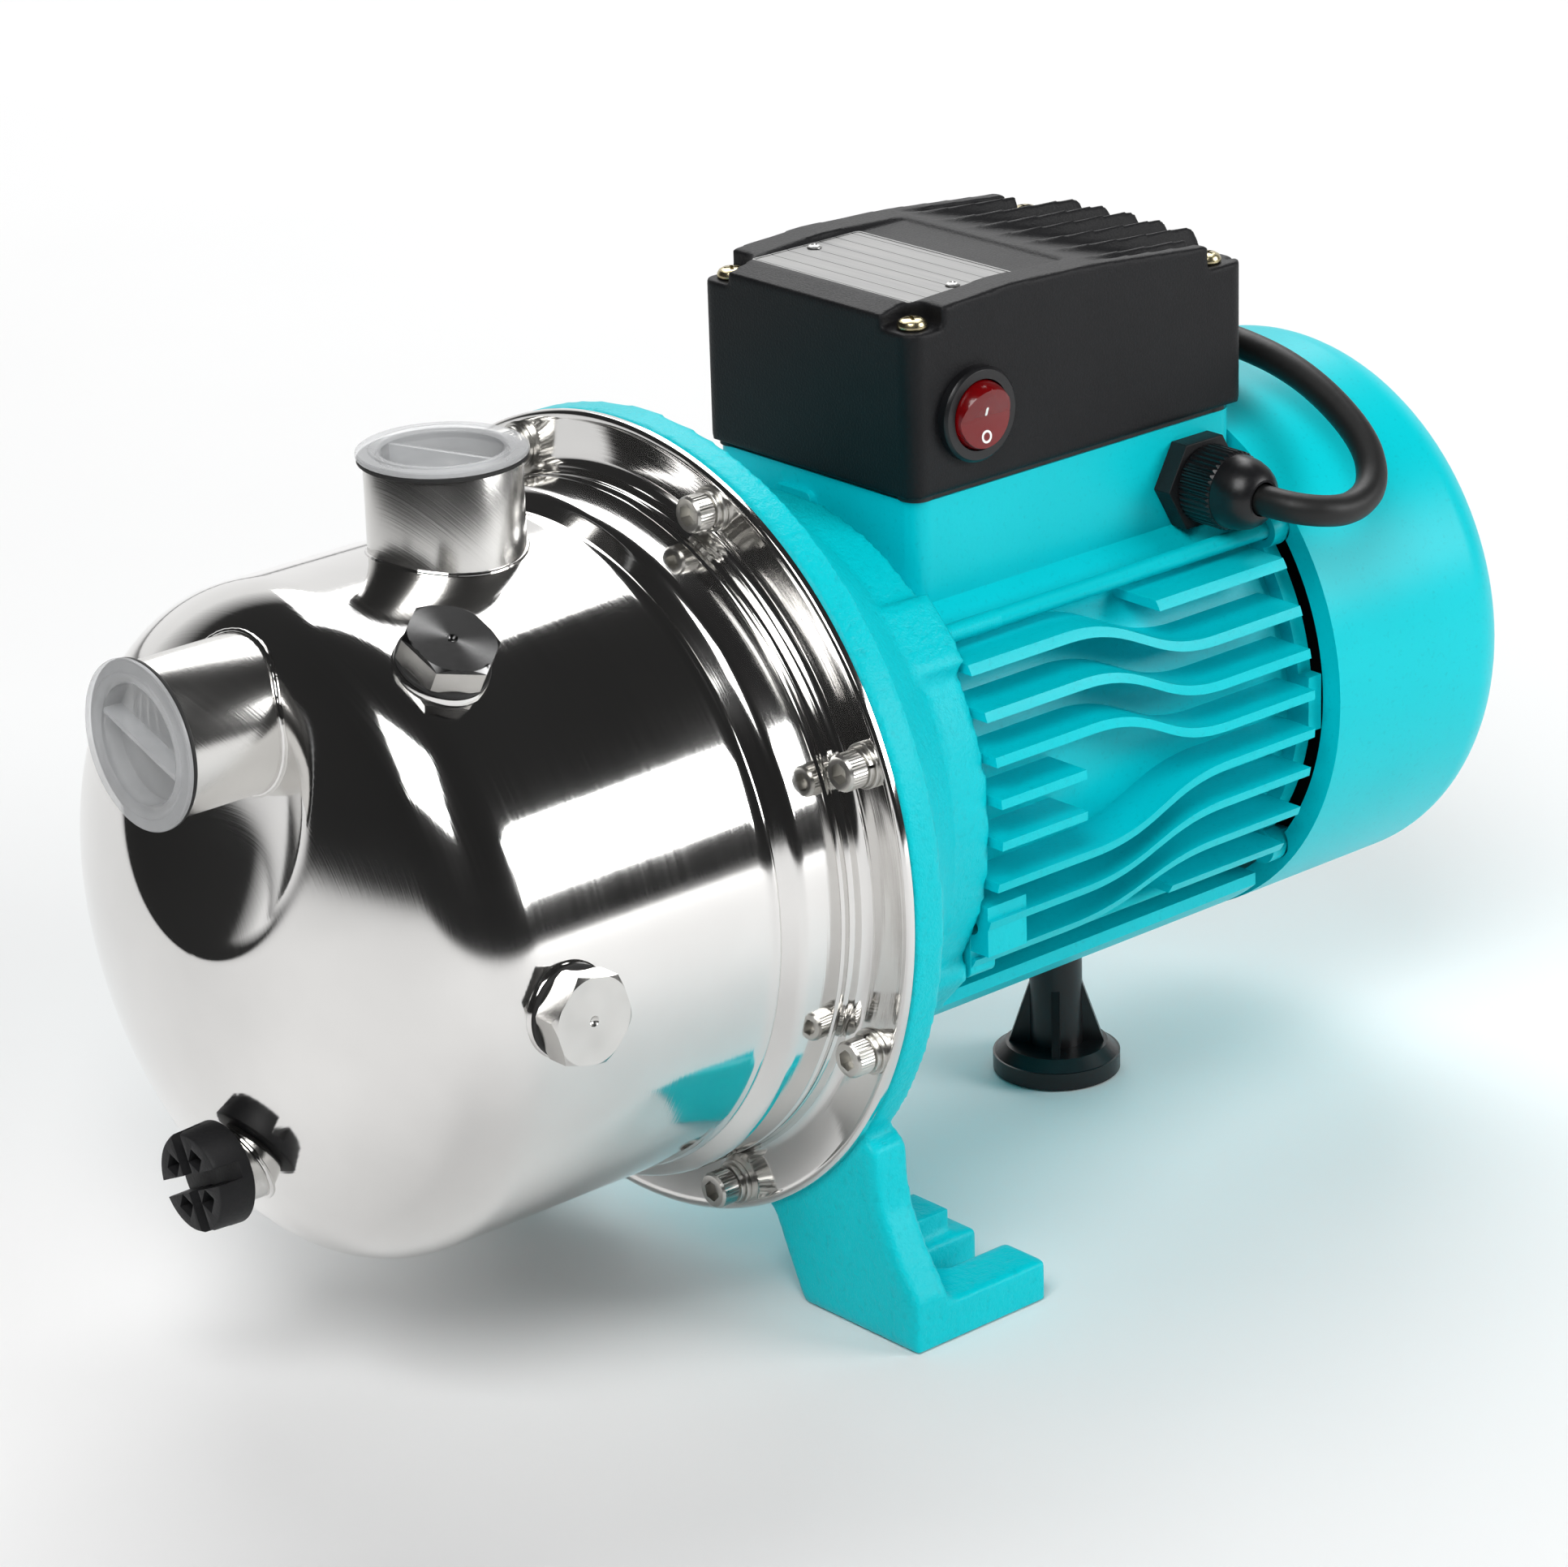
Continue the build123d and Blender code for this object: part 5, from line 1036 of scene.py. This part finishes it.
# %% Drain plug
head = turned([
    (0, 1.2), (12.9, 1.2), (13.5, 1.7), (13.1, 10.6), (12.6, 11.5), (12.2, 11.6), (0, 11.6),
], 128, False)
carved(head, cross(2.2, 20, 9.0, 4.6, 25))
pockets = bmesh.new()
for turn in (70, 160, 250, 340):
    pocket = prism([(5.4, -2.3), (5.4, 2.3), (9.6, 2.3), (9.6, -2.3)], 9.0, 5.6)
    add(pockets, pocket, turn_z(turn))
carved(head, pockets)
soften(head, 0.35)
add(head, turned([(0, -10.2), (5.2, -10.2), (6.0, -9.4), (6.0, 1.4), (0, 1.4)], 64, False))
piece("drain_plug_moulded", head, "matt_black", "drain_plug", DRAIN_MOUTH)
piece("drain_ring", seal_ring(6.1, 9.5, 0.02, 1.18, 96), "seal_rubber", "drain_seal", DRAIN_MOUTH)

# %% [markdown]
# Eight socket head screws hold the flange.  Each has a knurled-looking round head with a hexagon
# socket, a split spring washer and a flat washer under it.

# %% Flange screws
def socket_screw():
    """Screw with its seat at zero, its head up and its shank down."""
    head = prism(toothed(72, [4.9, 4.74]), 6.0)
    dome = turned([
        (0, 0), (4.3, 0), (4.75, 0.5), (4.95, 0.9), (4.95, 5.0), (4.3, 5.85), (3.7, 6.0), (0, 6.0),
    ], 72, False)
    carved(head, dome, "INTERSECT")
    carved(head, prism(hexagon(2.5, 11), 4.0, 2.8))
    soften(head, 0.16, 40, 1)
    thread = [(0, -13.3), (2.3, -13.3)]
    height = -12.8
    while height < -0.6:
        thread += [(2.95, height), (2.45, height + 0.5)]
        height += 1.0
    return add(head, turned(thread + [(2.95, -0.3), (2.95, 0.1), (0, 0.1)], 40, False))


screw = socket_screw()
split = turned([(3.15, 0), (5.1, 0), (5.2, 0.15), (5.2, 1.35), (5.1, 1.5), (3.15, 1.5)], 64)
carved(split, prism([(2.6, -0.3), (6, -0.9), (6, -0.1), (2.6, 0.5)], 3.0, -0.5))
washer = turned([(3.25, 0), (5.8, 0), (6.0, 0.2), (6.0, 1.0), (5.8, 1.2), (3.25, 1.2)], 64)
for name, shape, x in (
    ("flange_screws", screw, -2.7), ("flange_spring_washers", split, -1.2),
    ("flange_washers", washer, 0.0),
):
    whole = bmesh.new()
    for number, angle in enumerate(SCREW_ANGLES):
        twist = turn_z(67.0 * number)
        add(whole, shape, bolt_place(angle, x) @ twist)
    piece(name + "_set", whole, "zinc_plate", name, sharp=28)

# %% [markdown]
# ## Bracket and motor
#
# The bracket is sand cast iron.  Its CAD shape is remeshed at under two millimetres and smoothed
# a little, so that its corners melt into each other as they do in sand, and then enamelled.

# %% Cast pieces
def cast_copy(node, finish, grain_size, smooth, decimate=None, reshape=None):
    """A remeshed copy of a CAD node with melted edges."""
    mesh = nodes[node].data.copy()
    mesh.materials.clear()
    if reshape:
        bm = bmesh.new()
        bm.from_mesh(mesh)
        bmesh.ops.remove_doubles(bm, verts=bm.verts, dist=2e-6)
        reshape(bm)
        bm.to_mesh(mesh)
        bm.free()
    scratch = linked("casting", mesh)
    remesh = scratch.modifiers.new("sand", "REMESH")
    remesh.mode, remesh.voxel_size, remesh.adaptivity = "VOXEL", grain_size * MM, 0.0
    melt = scratch.modifiers.new("melt", "SMOOTH")
    melt.factor, melt.iterations = 0.5, smooth
    if decimate:
        scratch.modifiers.new("thin", "DECIMATE").ratio = decimate
    bm = take_result(bmesh.new(), scratch)
    bpy.data.meshes.remove(mesh)
    piece(node + "_cast", bm, finish, node, sharp=70)


cast_copy("pump_bracket", "teal_sand_cast", 1.5, 3)

# %% [markdown]
# The motor shell is die cast aluminium.  Its fins keep their true edges, with a small radius that
# the enamel rounds further.

# %% Dressed motor parts
def add_lugs(bm):
    """Two lugs with tapped holes: on the pedestal's front and at the foot of the fins."""
    for centre, width, depth, foot, bore in (
        ((66.0, 6.7, 66.2), 15.0, 13.4, 3.0, 1.9),
        ((60.6, -59.2, -38.4), 12.6, 15.6, 9.0, 1.7),
    ):
        where = place(centre, (-1, 0, 0), (0, 1, 0))
        hole = [(0, 0.6), (bore + 0.35, 0.6), (bore + 0.35, 0)]
        for turn in range(12):
            hole += [(bore - 0.2, -0.3 - 0.7 * turn), (bore + 0.15, -0.65 - 0.7 * turn)]
        drill = turned(hole + [(0, -8.8)], 40, False)
        lug = prism(rounded(width, depth, 2.4), foot, -foot)
        carved(lug, drill)
        soften(lug, 0.6, 60, 3)
        bmesh.ops.transform(drill, matrix=where, verts=drill.verts)
        carved(bm, drill)
        add(bm, lug, where)


dressed_copy("motor_housing", "teal_die_cast", 0.35, sharp=36, extra=add_lugs)
dressed_copy("rear_shield", "teal_die_cast", 0.6, sharp=36)
dressed_copy("rear_foot", "gloss_black", 0.35)
dressed_copy("gland_body", "matt_black", 0.3)
dressed_copy("switch_body", "gloss_black", 0.25)
dressed_copy("fan_cover_screws", "zinc_plate", 0.2)
dressed_copy("gland_seal", "seal_rubber", 0.2, 1)
dressed_copy("fan_cover", "teal_cover", 0.4, sharp=34)

# %% [markdown]
# The lid's ridges grow out of its crest as thin lines and stand up towards the back.  Their
# crests are round and the valleys hollow, so the lid behind the panel is a height over a grid: a
# falling floor, plus a narrow hump at each ridge.

# %% Ridged lid
LID_LINE = ((133.0, 129.7, 129.7), (178.0, 119.5, 126.6), (190.0, 118.0, 125.4))
RIDGE_PITCH = 11.04
LID_FRONT, LID_BACK, LID_HALF, LID_STEP, LID_BASE = 132.5, 190.0, 36.5, 0.5, 115.8
EDGE_X, EDGE_RADIUS = 186.0, 4.0
POCKET_X, POCKET_Y, POCKET_LEVEL = 175.4, 29.9, 119.2


def ridge_top(x, y):
    """Height of the lid above the shaft behind its panel."""
    near = 0 if x < LID_LINE[1][0] else 1
    (start, floor_0, crest_0), (end, floor_1, crest_1) = LID_LINE[near:near + 2]
    share = max(0.0, (x - start) / (end - start))
    floor = floor_0 + (floor_1 - floor_0) * share
    crest = crest_0 + (crest_1 - crest_0) * share
    if x > EDGE_X:
        crest -= EDGE_RADIUS - sqrt(max(0.0, EDGE_RADIUS ** 2 - (x - EDGE_X) ** 2))
    aside = abs(y / RIDGE_PITCH - round(y / RIDGE_PITCH)) * RIDGE_PITCH
    width = 1.1 + 0.8 * min(1.0, (x - 132.0) / 50.0)
    height = floor + max(0.0, crest - floor) * exp(-((aside / width) ** 1.7))
    in_pocket = x > POCKET_X and abs(y) > POCKET_Y
    return min(height, POCKET_LEVEL) if in_pocket else height


def ridge_block():
    """Closed block from inside the lid up to its ridged top, in the frame."""
    bm = bmesh.new()
    alongs = [LID_FRONT + LID_STEP * n for n in range(1 + int((LID_BACK - LID_FRONT) / LID_STEP))]
    asides = [-LID_HALF + LID_STEP * n for n in range(1 + int(2 * LID_HALF / LID_STEP))]
    rows = [[bm.verts.new((x, y, ridge_top(x, y))) for y in asides] for x in alongs]
    for one, two in zip(rows, rows[1:]):
        for corners in zip(one, two, two[1:], one[1:]):
            bm.faces.new(corners)
    made = bmesh.ops.extrude_face_region(bm, geom=bm.faces[:], use_keep_orig=True)
    for part in made["geom"]:
        if isinstance(part, bmesh.types.BMVert):
            part.co.z = LID_BASE
    bmesh.ops.recalc_face_normals(bm, faces=bm.faces)
    bmesh.ops.transform(bm, matrix=upright(0, 0, 0), verts=bm.verts)
    return bm


def ridged_lid(bm):
    """Cut the straight ridges away and put the moulded ones in their place."""
    clear = prism(
        [(133.0, -LID_HALF), (191.0, -LID_HALF), (191.0, LID_HALF), (133.0, LID_HALF)], 40.0, 116.0
    )
    bmesh.ops.transform(clear, matrix=upright(0, 0, 0), verts=clear.verts)
    carved(bm, clear)
    carved(bm, ridge_block(), "UNION")


cast_copy("terminal_cover", "box_moulding", 0.8, 2, 0.55, ridged_lid)

# %% [markdown]
# Four long tie bolts pull the rear shield to the bracket.  Their rolled thread shows at the front
# end, where they reach past the bracket's ears.

# %% Tie bolts
low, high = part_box("tie_bolts")
bolts = cad_copy("tie_bolts", 0.2, 1)
sleeve = [(1.2, 0), (2.3, 0)]
for turn in range(28):
    sleeve += [(2.66, 0.25 + 0.8 * turn), (2.66, 0.40 + 0.8 * turn), (2.42, 0.72 + 0.8 * turn)]
sleeve += [(2.3, 22.6), (1.2, 22.6)]
for y in (-54, 54):
    for z in (-46.5, 46.5):
        add(bolts, turned(sleeve, 32), place((60.2, y, z), (1, 0, 0), (0, 1, 0)))
piece("tie_bolts_threaded", bolts, "teal_die_cast", "tie_bolts", sharp=36)
print("tie bolts from", round(low.x / MM - JOINT_X, 1), "to", round(high.x / MM - JOINT_X, 1))

# %% [markdown]
# ## Switch box details
#
# The rating plate is a thin blank of aluminium with rounded corners and a ruled table, held by
# two blind rivets.

# %% Rating plate
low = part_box("nameplate")[0]
plate_place = upright(94.5, 0, low.z / MM - SHAFT_HEIGHT)
plate = prism(rounded(39.0, 62.0, 1.6), 0.5)
edge = prism(rounded(37.4, 60.4, 1.0), 0.3, 0.35)
carved(plate, edge)
soften(plate, 0.08, 40, 1)
piece("rating_plate", plate, "ruled_plate", "nameplate", plate_place)
rivets = bmesh.new()
for y in (-27, 27):
    rivet = turned([
        (0, -3), (1.15, -3), (1.15, 0.5), (2.0, 0.5), (1.95, 0.8), (1.5, 1.15), (0.9, 1.28),
        (0.7, 1.0), (0, 0.9),
    ], 40, False)
    add(rivets, rivet, Matrix.Translation((0, y, 0)))
piece("rating_plate_rivets", rivets, "plate_metal", "nameplate_rivets", plate_place)

# %% [markdown]
# The cover is held by pan head screws with a cross recess, in yellow passivated zinc.

# %% Cover screws
pan = turned([
    (0, 0), (3.7, 0), (4.0, 0.4), (3.95, 1.3), (3.5, 2.1), (2.6, 2.65), (1.4, 2.8), (0, 2.8),
], 64, False)
carved(pan, cross(0.45, 2.1, 4.0, 1.0, 20))
soften(pan, 0.12, 40, 1)
add(pan, turned([(0, -40), (1.4, -40), (1.9, -38), (1.9, 0.2), (0, 0.2)], 32, False))
screws = bmesh.new()
for x, seat in ((72.2, 124.0), (180.8, 119.2)):
    for y in (-35.3, 35.3):
        where = upright(x, y, seat) @ Matrix.Rotation(x * 3 + y, 4, "Z")
        add(screws, pan, where)
piece("cover_screws_set", screws, "yellow_zinc", "cover_screws", sharp=28)

# %% [markdown]
# The rocker is a see-through red moulding, round, with a hollowed face.  A white I marks its on
# side and an O its off side.

# %% Rocker
rocker = cad_copy("rocker_button", 0.5, 3)
piece("rocker_moulded", rocker, "red_button", "rocker_button", sharp=40)
marks = bmesh.new()
on_mark = prism(rounded(0.75, 2.5, 0.3), 0.3, -0.18)
off_mark = turned([(1.15, -0.18), (1.75, -0.18), (1.75, 0.12), (1.15, 0.12)], 48)
for shape, y, z, out in (
    (on_mark, -3.54, 1.34, (0, -0.949, -0.314)), (off_mark, -3.37, -5.55, (0, -0.997, 0.075)),
):
    add(marks, shape, place((87.8, -42.8 + y, 99 + z), out, (1, 0, 0)))
piece("rocker_marks", marks, "mark_white", "rocker_button", stands_in=False)

# %% [markdown]
# The gland nut is ribbed over its wide end so that wet fingers can turn it, and its nose is a
# smooth dome that squeezes the seal onto the cord.

# %% Gland nut
nut_place = place((169.2, -46.05, 61.7), (0, -1, 0), (1, 0, 0))
NOSE = [
    (10.3, 11.6), (10.2, 13.0), (9.95, 15.2), (9.2, 17.6), (8.1, 19.6), (6.6, 21.2), (5.4, 21.9),
    (0, 21.9),
]
nut = prism(toothed(160, [11.0, 11.0, 10.45, 10.45]), 11.4)
rim = [(0, 0), (10.3, 0), (11.0, 0.7), (11.0, 10.6), (10.5, 11.3)]
carved(nut, turned(rim + NOSE, 96, False), "INTERSECT")
carved(nut, turned([(0, 10.9), (10.3, 10.9)] + NOSE, 96, False), "UNION")
bore = [(0, -1), (8.05, -1), (8.05, 15.0), (4.75, 17.5), (4.75, 23), (0, 23)]
carved(nut, turned(bore, 64, False))
piece("gland_nut_ribbed", nut, "gloss_black", "gland_nut", nut_place, 28)

# %% [markdown]
# ## Inside pieces
#
# The pieces inside keep their CAD shapes and take the finish that each has when the pump is open.

# %% Inside finishes
INSIDE = {
    "carbon_face": ("seal_seat", "seal_rotor"),
    "seal_rubber": ("casing_o_ring", "slinger", "terminal_gasket"),
    "glass_filled": ("ejector_body", "ejector_nozzle", "diffuser", "terminal_block"),
    "cast_brass": ("impeller", "impeller_nut"),
    "bearing_steel": ("bearing_balls", "bearing_inner_races", "bearing_outer_races", "shaft"),
    "stacked_sheet": ("stator_core", "rotor"),
    "varnished_copper": ("stator_winding",),
    "pale_can": ("capacitor",),
    "matt_black": ("fan", "gland_locknut"),
    "zinc_plate": ("fan_clip",),
    "satin_stainless": ("seal_plate",),
}
for finish, names in INSIDE.items():
    for name in names:
        paint(name, finish)
print("inside pieces", sum(len(names) for names in INSIDE.values()))

# %% [markdown]
# ## Studio
#
# The pump stands on a pale floor under soft light.  Polished steel shows what stands round it, so
# the room matters too: it is bright behind the pump and dark behind the camera.

# %% Floor
sweep = bmesh.new()
bmesh.ops.create_grid(sweep, x_segments=1, y_segments=1, size=9.0)
sheet = bpy.data.meshes.new("floor")
sweep.to_mesh(sheet)
sweep.free()
here, set_varying = new_finish("floor_paper", Metallic=0.0)
paper = grain(here, 3.0)
set_varying(
    Base_Color=paper.between(0.3, 0.7).blend(grey(0.86), grey(0.88)),
    Roughness=paper * 0.1 + 0.75,
)
sheet.materials.append(FINISHES["floor_paper"])
floor = linked("floor", sheet)
floor.location.z = -0.0005
print("floor at", floor.location.z)

# %% [markdown]
# Three soft boxes light the pump, and a ramp over the directions makes the room.

# %% Lights
def softbox(name, where, aim, width, height, watts):
    """Area light at a point, turned to face another."""
    light = bpy.data.lights.new(name, "AREA")
    light.shape, light.size, light.size_y = "RECTANGLE", width, height
    light.energy = watts
    lamp = linked(name, light)
    out = (Vector(where) - Vector(aim)).normalized()
    lamp.matrix_world = Matrix.Translation(where) @ out.to_track_quat("Z", "Y").to_matrix().to_4x4()


softbox("key_light", (-1.6, -1.2, 2.4), (0, 0, 0.12), 1.6, 1.6, 60)
softbox("side_light", (1.5, -1.9, 1.0), (0, 0, 0.12), 1.3, 0.9, 34)
softbox("far_light", (1.6, 1.9, 2.6), (0.9, 1.1, 0.0), 2.4, 2.4, 84)

world = bpy.data.worlds.new("studio")
world.use_nodes = True
bpy.context.scene.world = world
sky = world.node_tree
ray = Wire(sky).node("TexCoord", out="Generated")
behind = ray.dot((0.585, 0.683, -0.439))
stops = [(0.0, grey(0.018)), (0.66, grey(0.028)), (0.78, grey(0.9)), (1.0, grey(1.0))]
room = behind.node("ValToRGB", {"stops": stops}, {0: behind * 0.5 + 0.5})
sky.links.new(room.socket, sky.nodes["Background"].inputs["Color"])
sky.nodes["Background"].inputs["Strength"].default_value = 1.0
bpy.context.scene.view_settings.view_transform = "Standard"
print("lights", len(bpy.data.lights))
